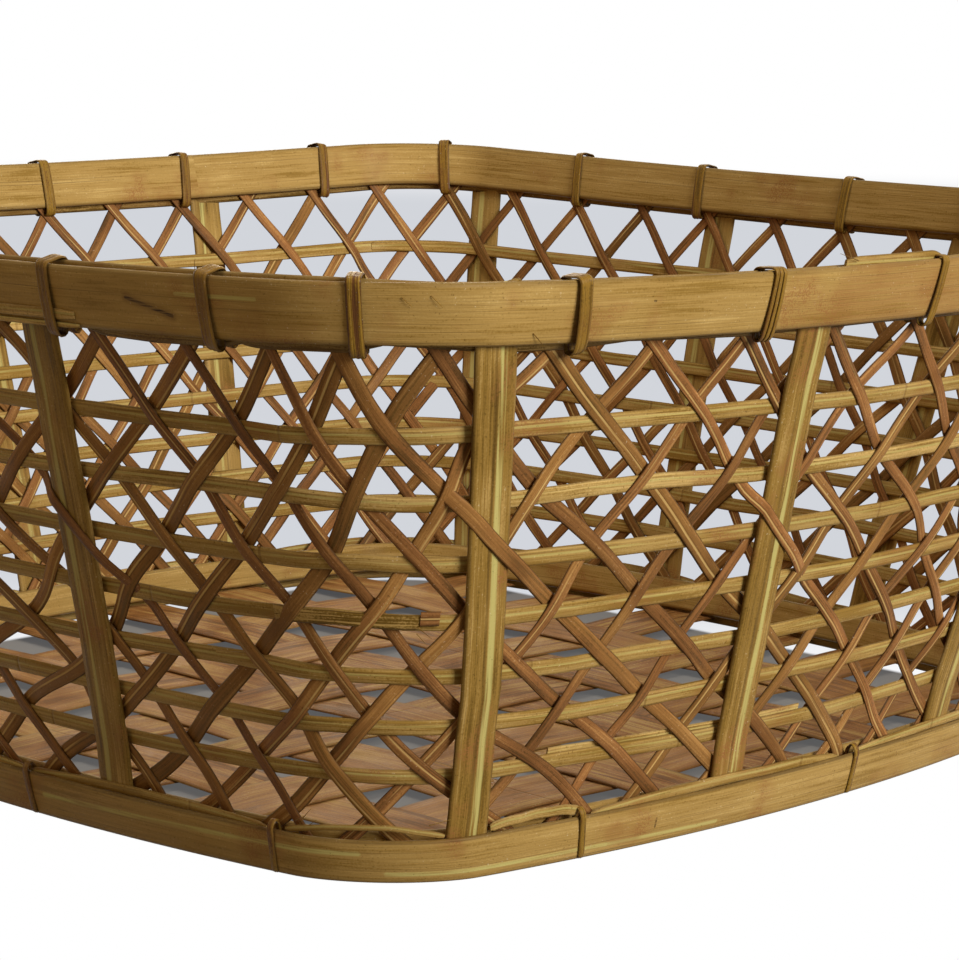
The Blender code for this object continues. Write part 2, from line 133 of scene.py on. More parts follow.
class Graph:
    """Adds nodes and links to a shader or geometry tree."""

    def __init__(self, tree: bpy.types.NodeTree) -> None:
        """Works on a tree."""
        self.tree = tree

    def add(self, kind: str, settings: dict | None = None, inputs: dict | None = None) -> bpy.types.Node:
        """Adds a node.

        Args:
            kind: The node's type.
            settings: Its properties, which are set first.
            inputs: Values or links, by the socket's name or number.

        Returns:
            The node.
        """
        node = self.tree.nodes.new(kind)
        for name, value in (settings or {}).items():
            setattr(node, name, value)
        for name, value in (inputs or {}).items():
            self.feed(node.inputs[name], value)
        return node

    def made(
        self, kind: str, settings: dict | None = None, inputs: dict | None = None
    ) -> bpy.types.NodeSocket:
        """Adds a node and gives its first output."""
        return self.add(kind, settings, inputs).outputs[0]

    def feed(self, socket: bpy.types.NodeSocket, value: object) -> None:
        """Links a socket to another one, or sets its own value.

        Args:
            socket: The input socket.
            value: A number on a socket, any other output socket, or a constant.
        """
        source = value.socket if isinstance(value, Value) else value
        if isinstance(source, bpy.types.NodeSocket):
            self.tree.links.new(source, socket)
        else:
            socket.default_value = source

    def value(self, kind: str, settings: dict | None = None, inputs: dict | None = None) -> Value:
        """Adds a node and gives its first output as a number."""
        return Value(self, self.made(kind, settings, inputs))

    def maths(self, operation: str, *operands: "Value | float", clamp: bool = False) -> Value:
        """Adds one Math node, whose result may be kept between 0 and 1."""
        settings = {"operation": operation, "use_clamp": clamp}
        return self.value("ShaderNodeMath", settings, dict(enumerate(operands)))

    def vector(self, x: "Value | float", y: "Value | float", z: "Value | float") -> bpy.types.NodeSocket:
        """A vector of three numbers."""
        return self.made("ShaderNodeCombineXYZ", None, {0: x, 1: y, 2: z})

    def parts(self, vector: bpy.types.NodeSocket) -> tuple[Value, Value, Value]:
        """A vector's three numbers."""
        node = self.add("ShaderNodeSeparateXYZ", None, {0: vector})
        return tuple(Value(self, output) for output in node.outputs)

    def vector_maths(self, operation: str, *operands: object) -> bpy.types.NodeSocket:
        """Adds one Vector Math node and gives its vector."""
        return self.made("ShaderNodeVectorMath", {"operation": operation}, dict(enumerate(operands)))

    def scaled(self, vector: bpy.types.NodeSocket, length: "Value | float") -> bpy.types.NodeSocket:
        """A vector times a number."""
        return self.made("ShaderNodeVectorMath", {"operation": "SCALE"}, {0: vector, "Scale": length})

    def noise(self, vector: bpy.types.NodeSocket, scale: float, detail: float = 2.0) -> Value:
        """Noise from 0 to 1 at a vector."""
        return self.value("ShaderNodeTexNoise", None, {"Vector": vector, "Scale": scale, "Detail": detail})

    def mixed(self, share: Value, first: object, second: object) -> bpy.types.NodeSocket:
        """A colour between two others."""
        node = self.add("ShaderNodeMix", {"data_type": "RGBA"}, {0: share.clamp(), 6: first, 7: second})
        return node.outputs[2]

    def near_line(self, u: Value, v: Value, start: tuple, end: tuple, reach: float) -> Value:
        """A mask round a short straight line.

        Args:
            u: The first coordinate.
            v: The second coordinate.
            start: The line's start.
            end: The line's end.
            reach: Distance from the line at which the mask ends.

        Returns:
            1 on the line and 0 from the reach on.
        """
        run, rise = end[0] - start[0], end[1] - start[1]
        square = run * run + rise * rise
        from_u, from_v = u - start[0], v - start[1]
        along = (from_u * (run / square) + from_v * (rise / square)).clamp()
        off_u, off_v = from_u - along * run, from_v - along * rise
        return 1.0 - (off_u * off_u + off_v * off_v).then("SQRT").rise(reach * 0.35, reach)


# ------------------------------------------------------------------- finishes


class Tone(Enum):
    """Colours of split cane, as written in sRGB from 0 to 255."""

    STRAW = (214, 178, 110)
    TAN = (184, 148, 84)
    OLIVE = (146, 112, 50)
    GOLD = (152, 116, 42)
    MOSS = (108, 80, 28)
    PALE_GREEN = (200, 186, 112)
    ROSE = (178, 128, 74)
    RUST = (150, 101, 54)
    BARK = (104, 66, 31)
    SPLIT_BARK = (97, 67, 35)
    SPLIT_RUST = (140, 93, 51)
    UMBER = (52, 32, 13)
    DUST = (226, 212, 180)
    STONE = (124, 118, 108)
    # MIST is the pale grey of the painted shade on the floor behind the basket.
    MIST = (210, 213, 219)
    WHITE = (255, 255, 255)

    def linear(self) -> tuple[float, float, float, float]:
        """The colour for a shader's socket."""
        channels = (channel / 255.0 for channel in self.value)
        return (*(c / 12.92 if c <= 0.04045 else ((c + 0.055) / 1.055) ** 2.4 for c in channels), 1.0)


@dataclass(frozen=True)
class Mark:
    """A mark on one strip, as a line in metres along and across it: a scar, scratch or streak, and on the
    hoops also a line of painted shadow.
    """

    start: tuple[float, float]
    end: tuple[float, float]
    reach: float
    tone: Tone
    share: float


@dataclass(frozen=True)
class GrainLayer:
    """Noise drawn out along the strip."""

    steps: float
    shift: float
    detail: float

    def noise(self, graph: Graph, across: Value, along: Value, phase: Value) -> Value:
        """The layer's noise, from 0 to 1, where across is counted in the layer's own widths."""
        return graph.noise(graph.vector(across, along * self.steps, phase + self.shift), 1.0, self.detail)


@dataclass(frozen=True)
class CaneFinish:
    """Split cane, with its grain along the strip.

    A strip's mesh has the attributes along and across, in metres, edge, from 0 in the middle to 1
    at the strip's edges, and tone, from 0 to 1, its own for each strip.
    """

    FINE: ClassVar[GrainLayer] = GrainLayer(60.0, 0.0, 4.0)
    VEINS: ClassVar[GrainLayer] = GrainLayer(14.0, 5.0, 3.0)
    LINES: ClassVar[GrainLayer] = GrainLayer(7.0, 9.0, 2.0)
    CLOUDS: ClassVar[GrainLayer] = GrainLayer(28.0, 2.0, 4.0)
    VEIN_WIDTH: ClassVar[float] = 3.2
    LINE_WIDTH: ClassVar[float] = 0.5
    CLOUDS_ACROSS: ClassVar[float] = 90.0
    STAINS_A_METRE: ClassVar[float] = 46.0
    GRIT_A_METRE: ClassVar[float] = 1500.0
    STRAND_SHIFT: ClassVar[float] = 37.0
    GRAIN: ClassVar[tuple[float, ...]] = (0.9, 1.1, 1.1, 0.35)  # fine, veins, clouds and grit
    HEIGHTS: ClassVar[tuple[float, ...]] = (0.6, 0.5, 0.6, 0.12)  # fine, lines, veins and grit
    MIDDLE_RISE: ClassVar[tuple[float, float]] = (0.10, 0.50)
    LIGHT_RISE: ClassVar[tuple[float, float]] = (0.50, 0.95)
    OTHER_RISE: ClassVar[tuple[float, float]] = (0.25, 0.85)
    BLOTCH_RISE: ClassVar[tuple[float, float]] = (0.53, 0.70)
    LINE_RISE: ClassVar[tuple[float, float]] = (0.58, 0.72)
    VEIN_RISE: ClassVar[tuple[float, float]] = (0.36, 0.60)
    EDGE_RISE: ClassVar[tuple[float, float]] = (0.78, 1.0)
    MARK_GRAIN_RISE: ClassVar[tuple[float, float]] = (0.30, 0.62)
    DUST_RISE: ClassVar[tuple[float, float]] = (0.71, 0.78)
    PIT_RISE: ClassVar[tuple[float, float]] = (0.22, 0.30)
    COAT_ROUGHNESS: ClassVar[float] = 0.3
    SPECULAR: ClassVar[float] = 0.04
    RELIEF: ClassVar[float] = 0.3 * MM

    name: str
    dark: Tone
    middle: Tone
    light: Tone
    other: Tone
    other_share: float = 0.5
    contrast: float = 1.6
    streak: Tone = Tone.PALE_GREEN
    streak_share: float = 0.0
    streak_across: float = 0.0
    streak_spread: float = 0.0
    streak_reach: float = 0.5 * MM
    blotch: Tone = Tone.BARK
    blotch_share: float = 0.4
    # Share of umber at the strip's edges: partly worn edges, partly painted shade where strips meet.
    edge_shade: float = 0.35
    roughness: float = 0.44
    coat: float = 0.03
    bump: float = 0.6
    node_pitch: float = 0.0
    node_reach: float = 0.8 * MM
    fibre_pitch: float = 0.45 * MM
    strand_change: float = 0.0
    marks: tuple[Mark, ...] = ()

    def build(self) -> bpy.types.Material:
        """The finish as a material.

        Returns:
            The material, whose pattern runs along the strip and differs from strip to strip.
        """
        material = bpy.data.materials.new(self.name)
        material.use_nodes = True
        graph = Graph(material.node_tree)
        shader = material.node_tree.nodes["Principled BSDF"]
        along, across, edge, tone = (
            Value(graph, graph.add("ShaderNodeAttribute", {"attribute_name": name}).outputs["Fac"])
            for name in ("along", "across", "edge", "tone")
        )
        place = graph.add("ShaderNodeTexCoord").outputs["Object"]
        phase, pitch = tone * self.STRAND_SHIFT, self.fibre_pitch
        fine = self.FINE.noise(graph, across / pitch, along, phase)
        veins = self.VEINS.noise(graph, across / (pitch * self.VEIN_WIDTH), along, phase)
        lines = self.LINES.noise(graph, across / (pitch * self.LINE_WIDTH), along, phase)
        clouds = self.CLOUDS.noise(graph, across * self.CLOUDS_ACROSS, along, phase)
        stains = graph.noise(place, self.STAINS_A_METRE, 5.0)
        grit = graph.noise(place, self.GRIT_A_METRE, 1.0)
        umber = Tone.UMBER.linear()

        grain = sum((layer - 0.5) * share for layer, share in zip((fine, veins, clouds, grit), self.GRAIN))
        grain = grain * self.contrast + 0.5
        base = graph.mixed(grain.rise(*self.MIDDLE_RISE), self.dark.linear(), self.middle.linear())
        base = graph.mixed(grain.rise(*self.LIGHT_RISE), base, self.light.linear())
        swing = (tone + (clouds - 0.5) * 1.4).rise(*self.OTHER_RISE) * self.other_share
        base = graph.mixed(swing, base, self.other.linear())
        base = graph.scaled(base, 1.0 + ((tone * 7.0).then("FRACT") - 0.5) * self.strand_change)
        blotches = stains.rise(*self.BLOTCH_RISE) * (0.35 + grit.rise(0.42, 0.60)) * self.blotch_share
        base = graph.mixed(blotches, base, self.blotch.linear())
        dark_lines = lines.rise(*self.LINE_RISE) * 0.5 * veins.rise(*self.VEIN_RISE)
        base = graph.mixed(dark_lines, base, umber)
        if self.streak_share:
            base = self.streaked(graph, base, along, across, tone)
        # Painted shade, partly worn edges: the strip's edges are darkened with umber, for the shade where
        # strips meet and tuck under each other.
        ragged = edge + (veins - 0.5) * 0.25
        base = graph.mixed(ragged.rise(*self.EDGE_RISE) * self.edge_shade, base, umber)
        mark_grain = fine.rise(*self.MARK_GRAIN_RISE) + veins * 0.5
        # Marks: scars, scratches, streaks and patches, and on the hoops also lines of painted shadow along
        # their edges, all broken up by the grain.
        for mark in self.marks:
            near = graph.near_line(along, across, mark.start, mark.end, mark.reach)
            base = graph.mixed(near * mark_grain * mark.share, base, mark.tone.linear())
        dust = grit.rise(*self.DUST_RISE) * 0.4 * clouds.rise(0.4, 0.6)
        base = graph.mixed(dust, base, Tone.DUST.linear())
        base = graph.mixed((1.0 - grit.rise(*self.PIT_RISE)) * 0.5, base, umber)
        height = sum(layer * share for layer, share in zip((fine, lines, veins, grit), self.HEIGHTS))
        if self.node_pitch:
            turn = (along / self.node_pitch + tone * 3.0).then("FRACT")
            ring = turn.bump_at(0.5, self.node_reach / self.node_pitch)
            base = graph.mixed(ring * 0.35, base, Tone.BARK.linear())
            height = height + ring * 1.6
        graph.feed(shader.inputs["Base Color"], base)
        graph.feed(shader.inputs["Roughness"], (fine - 0.5) * 0.5 + (stains - 0.5) * 0.4 + self.roughness)
        relief = {"Strength": self.bump, "Distance": self.RELIEF, "Height": height}
        graph.feed(shader.inputs["Normal"], graph.made("ShaderNodeBump", None, relief))
        shader.inputs["Coat Weight"].default_value = self.coat
        shader.inputs["Coat Roughness"].default_value = self.COAT_ROUGHNESS
        shader.inputs["Specular IOR Level"].default_value = self.SPECULAR
        return material

    def streaked(self, graph: Graph, base: object, along: Value, across: Value, tone: Value) -> object:
        """Adds the strip's pale streak, with a dark line of painted shadow beside it.

        Args:
            graph: The material's graph.
            base: The colour under the streak.
            along: Distance along the strip.
            across: Distance across it.
            tone: The strip's own number.

        Returns:
            The colour.
        """
        phase = tone * self.STRAND_SHIFT
        wander = (graph.noise(graph.vector(along * 14.0, phase, 0.0), 1.0, 1.0) - 0.5) * 1.2 * MM
        middle = wander + self.streak_across + ((tone * 13.0).then("FRACT") - 0.5) * self.streak_spread
        broken = graph.noise(graph.vector(along * 26.0, across * 700.0, phase), 1.0, 2.0).rise(0.34, 0.54)
        amount = broken * self.streak_share
        if self.streak_spread:
            amount = amount * (tone * 5.0).then("FRACT").rise(0.40, 0.50)
        # Painted shadow: a dark umber line always on the same side of the pale streak, as if the streak stood
        # up from the strip.
        beside = across.bump_at(middle - self.streak_reach * 1.5, self.streak_reach * 0.6)
        base = graph.mixed(beside * amount * 0.55, base, Tone.UMBER.linear())
        near = 1.0 - abs(across - middle).rise(self.streak_reach * 0.45, self.streak_reach)
        return graph.mixed(near * amount, base, self.streak.linear())


BAND = CaneFinish(
    "hoop_cane", Tone.OLIVE, Tone.TAN, Tone.STRAW, Tone.OLIVE, other_share=0.30, edge_shade=0.45,
    contrast=0.95, fibre_pitch=0.6 * MM, blotch=Tone.RUST, blotch_share=0.6,
)
# The filler's darker palette is partly its own tone and partly painted shade, for where it lies in the shadow
# under the outer hoop.
FILLER = CaneFinish(
    "rim_filler_cane", Tone.MOSS, Tone.TAN, Tone.OLIVE, Tone.BARK, other_share=0.45,
    contrast=1.5, fibre_pitch=0.4 * MM, edge_shade=0.6,
)
STAKE = CaneFinish(
    "stake_cane", Tone.MOSS, Tone.OLIVE, Tone.TAN, Tone.TAN, other_share=0.5, contrast=1.15,
    streak_share=0.85, streak_across=1.9 * MM, streak_reach=1.55 * MM, fibre_pitch=0.45 * MM,
    blotch=Tone.RUST, blotch_share=0.8,
)
STAKE_LEFT = replace(STAKE, name="stake_cane_left", streak_across=-2.4 * MM, streak_share=0.6)
ROW = CaneFinish(
    "row_cane", Tone.OLIVE, Tone.TAN, Tone.STRAW, Tone.OLIVE, other_share=0.55, contrast=2.0,
    streak_share=0.5, streak_across=-0.7 * MM, streak_reach=0.5 * MM, node_pitch=0.23,
    fibre_pitch=0.4 * MM, blotch=Tone.RUST, blotch_share=0.55, edge_shade=0.5,
)
SPLINT = CaneFinish(
    "splint_cane", Tone.SPLIT_BARK, Tone.SPLIT_RUST, Tone.ROSE, Tone.OLIVE, other_share=0.3, contrast=1.2,
    streak=Tone.STRAW, streak_share=0.7, streak_spread=2.6 * MM, streak_reach=0.36 * MM,
    fibre_pitch=0.4 * MM, edge_shade=0.8, strand_change=0.35, roughness=0.5,
)
LASHING = CaneFinish(
    "lashing_cane", Tone.MOSS, Tone.GOLD, Tone.BARK, Tone.BARK, other_share=0.3, contrast=1.6,
    roughness=0.36, coat=0.1, fibre_pitch=0.35 * MM, edge_shade=0.6, bump=0.9,
)
FLOOR = CaneFinish(
    "floor_cane", Tone.BARK, Tone.RUST, Tone.TAN, Tone.ROSE, other_share=0.4,
    roughness=0.5, fibre_pitch=0.8 * MM, node_pitch=0.19,
)


# ------------------------------------------------------------------ the wall


@dataclass
class Route:
    """The line that one strip follows, with the way its face looks and its share of full width."""

    points: np.ndarray
    outward: np.ndarray
    girth: np.ndarray | None = None
    strand: int = 0


def units(vectors: np.ndarray) -> np.ndarray:
    """Vectors, one a row, brought to length 1."""
    return vectors / np.linalg.norm(vectors, axis=1)[:, None]


@dataclass(frozen=True)
class WallSizes:
    """Sizes of the wall's outer face, as the frame has them."""

    rim_length: float = 0.474
    rim_width: float = 0.466
    rim_corner_radius: float = 0.040
    rim_side_bow: float = 0.018
    base_length: float = 0.378
    base_width: float = 0.374
    base_corner_radius: float = 0.032
    base_side_bow: float = 0.020
    rim_height: float = 0.178
    corner_lift: float = 0.0048
    lowest: float = -0.002
    highest: float = 0.186
    levels: int = 48
    samples: int = 2400
    side_steps: int = 60
    corner_steps: int = 40


class Wall:
    """The wall's outer face: a bowed, round-cornered square that narrows towards the ground."""

    def __init__(self, sizes: WallSizes) -> None:
        """Tabulates the face.

        Args:
            sizes: Its sizes.
        """
        self.sizes = sizes
        self.heights = np.linspace(sizes.lowest, sizes.highest, sizes.levels)
        tables = [self.level(height) for height in self.heights]
        self.table = np.stack([table for table, _ in tables])
        self.lengths = np.array([length for _, length in tables])

    def level(self, height: float) -> tuple[np.ndarray, float]:
        """x, y, outward normal and corner nearness at even places of one height.

        Args:
            height: The height at the middle of a side.

        Returns:
            The table and the distance round the face.
        """
        sizes = self.sizes
        share = height / sizes.rim_height
        bow = sizes.base_side_bow + (sizes.rim_side_bow - sizes.base_side_bow) * share
        half = np.array([
            (sizes.base_length + (sizes.rim_length - sizes.base_length) * share) / 2 - bow,
            (sizes.base_width + (sizes.rim_width - sizes.base_width) * share) / 2 - bow,
        ])
        radius = sizes.base_corner_radius + (sizes.rim_corner_radius - sizes.base_corner_radius) * share
        arcs = []
        for turn, signs in enumerate(((-1, -1), (1, -1), (1, 1), (-1, 1))):
            angles = math.pi * (1 + turn / 2) + np.linspace(0, math.pi / 2, sizes.corner_steps + 1)
            centre = np.array(signs) * (half - radius)
            arcs.append(centre + radius * np.stack([np.cos(angles), np.sin(angles)], axis=1))
        runs = []
        for turn, arc in enumerate(arcs):
            start, end = arc[-1], arcs[(turn + 1) % 4][0]
            steps = np.arange(sizes.side_steps)[:, None] / sizes.side_steps
            runs += [arc[:-1], start + (end - start) * steps]
        square = np.roll(np.concatenate(runs), -sizes.corner_steps // 2, axis=0)
        along = square / half
        points = square + along * bow * (1 - along[:, ::-1] ** 2)
        nearness = (np.abs(along[:, 0]) * np.abs(along[:, 1])) ** 2
        tangent = units(np.roll(points, -1, axis=0) - np.roll(points, 1, axis=0))
        steps = np.linalg.norm(np.roll(points, -1, axis=0) - points, axis=1)
        places = np.concatenate([[0.0], np.cumsum(steps)])
        columns = np.column_stack([points, tangent[:, 1], -tangent[:, 0], nearness])
        columns = np.concatenate([columns, columns[:1]])
        even = np.arange(sizes.samples + 1) / sizes.samples
        table = np.stack([np.interp(even, places / places[-1], column) for column in columns.T], axis=1)
        return table, float(places[-1])

    def look_up(self, place: np.ndarray, height: np.ndarray) -> np.ndarray:
        """The table's columns at places and heights, between its own.

        Args:
            place: Shares of the way round.
            height: Heights.

        Returns:
            One row a point: x, y, outward normal and corner nearness.
        """
        sizes = self.sizes
        level = (height - sizes.lowest) / (sizes.highest - sizes.lowest) * (sizes.levels - 1)
        level = np.clip(level, 0, sizes.levels - 1.001)
        sample = (place % 1.0) * sizes.samples
        low, first = level.astype(int), sample.astype(int)
        up, ahead = (level - low)[:, None], (sample - first)[:, None]
        below = self.table[low, first] * (1 - ahead) + self.table[low, first + 1] * ahead
        above = self.table[low + 1, first] * (1 - ahead) + self.table[low + 1, first + 1] * ahead
        return below * (1 - up) + above * up

    def at(self, place: object, height: object, inset: object = 0.0) -> np.ndarray:
        """Points at places, heights and insets.

        Args:
            place: Shares of the way round.
            height: Heights.
            inset: Depths inwards.

        Returns:
            One point a row.
        """
        place, height, inset = np.broadcast_arrays(
            np.atleast_1d(np.asarray(place, float)), np.asarray(height, float), np.asarray(inset, float)
        )
        found = self.look_up(place, height)
        lift = self.sizes.corner_lift * (height / self.sizes.rim_height) ** 2 * found[:, 4]
        level = found[:, :2] - found[:, 2:4] * inset[:, None]
        return np.column_stack([level, height + lift])

    def outward(self, place: object, height: object) -> np.ndarray:
        """Unit vectors out of the wall.

        Args:
            place: Shares of the way round.
            height: Heights.

        Returns:
            One vector a row.
        """
        place, height = np.broadcast_arrays(
            np.atleast_1d(np.asarray(place, float)), np.asarray(height, float)
        )
        found = self.look_up(place, height)
        step = 2 * MM
        climb = units(self.at(place, height + step) - self.at(place, height - step))
        level = np.column_stack([found[:, 2:4], np.zeros(len(found))])
        return units(level - climb * np.sum(level * climb, axis=1)[:, None])

    def route(
        self, places: object, heights: object, inset: object, girth: object = None, strand: int = 0
    ) -> Route:
        """The line of a strip that lies flat on the wall.

        Args:
            places: Shares of the way round.
            heights: Heights.
            inset: Depths inwards.
            girth: The strip's shares of its full width, or None where it has it all along.
            strand: The strip's number.

        Returns:
            The line.
        """
        return Route(self.at(places, heights, inset), self.outward(places, heights), girth, strand)

    def round(self, height: float) -> float:
        """Distance round the face at a height."""
        return float(np.interp(height, self.heights, self.lengths))


# ---------------------------------------------------------------- cane strips


@dataclass(frozen=True)
class StripSizes:
    """Section of a strip, and how far it strays from its line."""

    width: float
    thickness: float
    crown: float = 0.0
    corner: float = 10.0
    ridges: float = 0.0
    wander: float = 0.0
    width_change: float = 0.0
    seed: int = 1
    sides: int = 12


class StripTree:
    """The geometry tree that sweeps a strip of cane along each guide line."""

    KINDS = {float: "NodeSocketFloat", int: "NodeSocketInt"}
    DRIFTS = 16.0  # sideways bends in a metre of strip
    SWELLS = 24.0  # changes of width in a metre
    RIB_TURN = 9.42  # three ribs across a strip
    STRAND_PHASE, SEED_PHASE = 7.31, 3.17  # how far apart the noise of two strips lies

    def __init__(self) -> None:
        """Builds the tree."""
        self.tree = bpy.data.node_groups.new("cane_strip", "GeometryNodeTree")
        self.identifiers: dict[str, str] = {}
        self.socket("Geometry", "INPUT", "NodeSocketGeometry")
        for size in fields(StripSizes):
            self.socket(size.name, "INPUT", self.KINDS[size.type])
        self.socket("Material", "INPUT", "NodeSocketMaterial")
        self.socket("Geometry", "OUTPUT", "NodeSocketGeometry")
        self.wire()

    def socket(self, name: str, side: str, kind: str) -> None:
        """Adds one input or output to the tree.

        Args:
            name: Its name.
            side: INPUT or OUTPUT.
            kind: Its socket's type.
        """
        item = self.tree.interface.new_socket(name, in_out=side, socket_type=kind)
        if side == "INPUT":
            self.identifiers[name] = item.identifier

    def wire(self) -> None:
        """Adds the tree's nodes and links."""
        graph = Graph(self.tree)
        given = graph.add("NodeGroupInput").outputs
        sizes = StripSizes(*(Value(graph, given[size.name]) for size in fields(StripSizes)))
        line = graph.made("GeometryNodeMeshToCurve", None, {"Mesh": given["Geometry"]})

        outward = self.named(graph, "outward", "FLOAT_VECTOR")
        strand = Value(graph, self.named(graph, "strand", "INT"))
        girth = Value(graph, self.named(graph, "girth", "FLOAT"))
        tangent = graph.made("GeometryNodeInputTangent")
        length = Value(graph, graph.add("GeometryNodeSplineParameter").outputs["Length"])
        sideways = graph.vector_maths("NORMALIZE", graph.vector_maths("CROSS_PRODUCT", outward, tangent))
        own = graph.add("FunctionNodeRandomValue", {"data_type": "FLOAT"}, {"ID": strand, "Seed": sizes.seed})
        tone = Value(graph, own.outputs[1])
        line = self.stored(graph, self.stored(graph, line, "tone", tone), "along", length)
        phase = strand * self.STRAND_PHASE + sizes.seed * self.SEED_PHASE
        drift = graph.noise(graph.vector(length * self.DRIFTS, phase, 0.0), 1.0) - 0.5
        moved = graph.scaled(sideways, drift * sizes.wander * 2.0)
        line = graph.made("GeometryNodeSetPosition", None, {"Geometry": line, "Offset": moved})
        line = graph.made("GeometryNodeSetCurveNormal", {"mode": "FREE"}, {"Curve": line, "Normal": outward})
        swell = graph.noise(graph.vector(length * self.SWELLS, 4.0, phase), 1.0) - 0.5
        scale = girth * (1.0 + sizes.width_change * (swell * 1.4 + (tone - 0.5)))

        circle = {"Resolution": sizes.sides, "Radius": 1.0}
        ring = graph.made("GeometryNodeCurvePrimitiveCircle", {"mode": "RADIUS"}, circle)
        x, y, _ = graph.parts(graph.made("GeometryNodeInputPosition"))
        flat = x.sign() * (abs(x) ** 0.75)
        rise = y.sign() * (1.0 - abs(flat) ** sizes.corner).then("MAXIMUM", 0.0).then("SQRT")
        outer = y.rise(-0.05, 0.3)
        crown = outer * (1.0 - flat * flat) * sizes.crown
        ribs = outer * sizes.ridges * (flat * self.RIB_TURN).then("COSINE")
        across = flat * sizes.width * 0.5
        shaped = graph.vector(rise * sizes.thickness * 0.5 + crown + ribs, across, 0.0)
        ring = self.stored(graph, self.stored(graph, ring, "across", across), "edge", abs(flat))
        ring = graph.made("GeometryNodeSetPosition", None, {"Geometry": ring, "Position": shaped})

        sweep = {"Curve": line, "Profile Curve": ring, "Scale": scale, "Fill Caps": True}
        mesh = graph.made("GeometryNodeCurveToMesh", None, sweep)
        for kind in ("GeometryNodeSetShadeSmooth", "GeometryNodeRealizeInstances"):
            mesh = graph.made(kind, None, {"Geometry": mesh})
        finish = {"Geometry": mesh, "Material": given["Material"]}
        mesh = graph.made("GeometryNodeSetMaterial", None, finish)
        graph.add("NodeGroupOutput", None, {"Geometry": mesh})

    @staticmethod
    def named(graph: Graph, name: str, kind: str) -> bpy.types.NodeSocket:
        """Reads an attribute of the guide lines."""
        return graph.made("GeometryNodeInputNamedAttribute", {"data_type": kind}, {"Name": name})

    @staticmethod
    def stored(graph: Graph, geometry: object, name: str, value: object) -> bpy.types.NodeSocket:
        """Stores a number on the points of a curve.

        Args:
            graph: The tree's graph.
            geometry: The curve.
            name: The attribute's name.
            value: The number.

        Returns:
            The curve with the attribute.
        """
        where = {"data_type": "FLOAT", "domain": "POINT"}
        stored = {"Geometry": geometry, "Name": name, "Value": value}
        return graph.made("GeometryNodeStoreNamedAttribute", where, stored)


class Weaver:
    """Makes pieces of cane strip and hangs them on the frame."""

    def __init__(self) -> None:
        """Builds the strip tree."""
        self.strip = StripTree()
        self.materials: dict[str, bpy.types.Material] = {}
        self.slots = {row["slot"] for row in frame["record"]["materials"]}

    def finish(self, finish: CaneFinish) -> bpy.types.Material:
        """The finish's material, built once.

        Args:
            finish: The finish.

        Returns:
            The material.
        """
        if finish.name not in self.materials:
            self.materials[finish.name] = finish.build()
        return self.materials[finish.name]

    def guides(self, name: str, routes: list[Route]) -> bpy.types.Object:
        """Guide lines as a mesh of edges.

        Args:
            name: The piece's name.
            routes: The lines.

        Returns:
            The object, not yet swept.
        """
        counts = [len(route.points) for route in routes]
        starts = np.concatenate([[0], np.cumsum(counts)[:-1]])
        edges = np.concatenate([
            np.stack([np.arange(count - 1), np.arange(1, count)], axis=1) + start
            for start, count in zip(starts, counts)
        ])
        mesh = bpy.data.meshes.new(name)
        mesh.from_pydata(np.concatenate([route.points for route in routes]).tolist(), edges.tolist(), [])
        girths = [np.ones(len(route.points)) if route.girth is None else route.girth for route in routes]
        for title, kind, entry, values in (
            ("outward", "FLOAT_VECTOR", "vector", np.concatenate([route.outward for route in routes])),
            ("girth", "FLOAT", "value", np.concatenate(girths)),
            ("strand", "INT", "value", np.repeat([route.strand for route in routes], counts)),
        ):
            numbers = values.astype(np.int32 if kind == "INT" else np.float32).ravel()
            mesh.attributes.new(title, kind, "POINT").data.foreach_set(entry, numbers)
        piece = bpy.data.objects.new(name, mesh)
        bpy.context.scene.collection.objects.link(piece)
        return piece

    def weave(
        self, name: str, routes: list[Route], sizes: StripSizes, finish: CaneFinish,
        nodes: tuple[str, ...] = (), slot: str = "",
    ) -> bpy.types.Object:
        """Makes one piece of strips.

        Args:
            name: The piece's name.
            routes: The strips' lines.
            sizes: The strips' section.
            finish: Their finish.
            nodes: The frame's nodes that the piece stands for.
            slot: The material slot of a piece that stands for no node.

        Returns:
            The piece.
        """
        piece = self.guides(name, routes)
        modifier = piece.modifiers.new("cane_strip", "NODES")
        modifier.node_group = self.strip.tree
        modifier[self.strip.identifiers["Material"]] = self.finish(finish)
        for size in fields(StripSizes):
            modifier[self.strip.identifiers[size.name]] = getattr(sizes, size.name)
        graph = bpy.context.evaluated_depsgraph_get()
        mesh = bpy.data.meshes.new_from_object(piece.evaluated_get(graph))
        piece.modifiers.clear()
        piece.data = mesh
        mesh.name = name
        self.hang(piece, nodes, slot or f"{nodes[0]}_cane")
        return piece

    def hang(self, piece: bpy.types.Object, nodes: tuple[str, ...], slot: str) -> None:
        """Makes a piece ride on the basket.

        Args:
            piece: The piece.
            nodes: The nodes that it stands for.
            slot: A material slot, which must be one of the record's.
        """
        if slot not in self.slots:
            raise ValueError(f"the record has no slot named {slot}")
        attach(piece, BODY)
        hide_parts(*nodes)
        LOG.info("%s: %d faces", piece.name, len(piece.data.polygons))


# ------------------------------------------------------------------ the basket


def smooth(value: np.ndarray, low: float, high: float) -> np.ndarray:
    """A smooth step from 0 at low to 1 at high."""
    share = np.clip((np.asarray(value, float) - low) / (high - low), 0.0, 1.0)
    return share * share * (3 - 2 * share)


def evenly(corners: np.ndarray, count: int) -> list[np.ndarray]:
    """The two coordinates of a broken line, at even steps along it.

    Args:
        corners: The line's corners, one a row.
        count: How many points to give.

    Returns:
        The first coordinates and the second ones.
    """
    steps = np.concatenate([[0.0], np.cumsum(np.linalg.norm(np.diff(corners, axis=0), axis=1))])
    even = np.linspace(0.0, steps[-1], count)
    return [np.interp(even, steps, corners[:, axis]) for axis in (0, 1)]


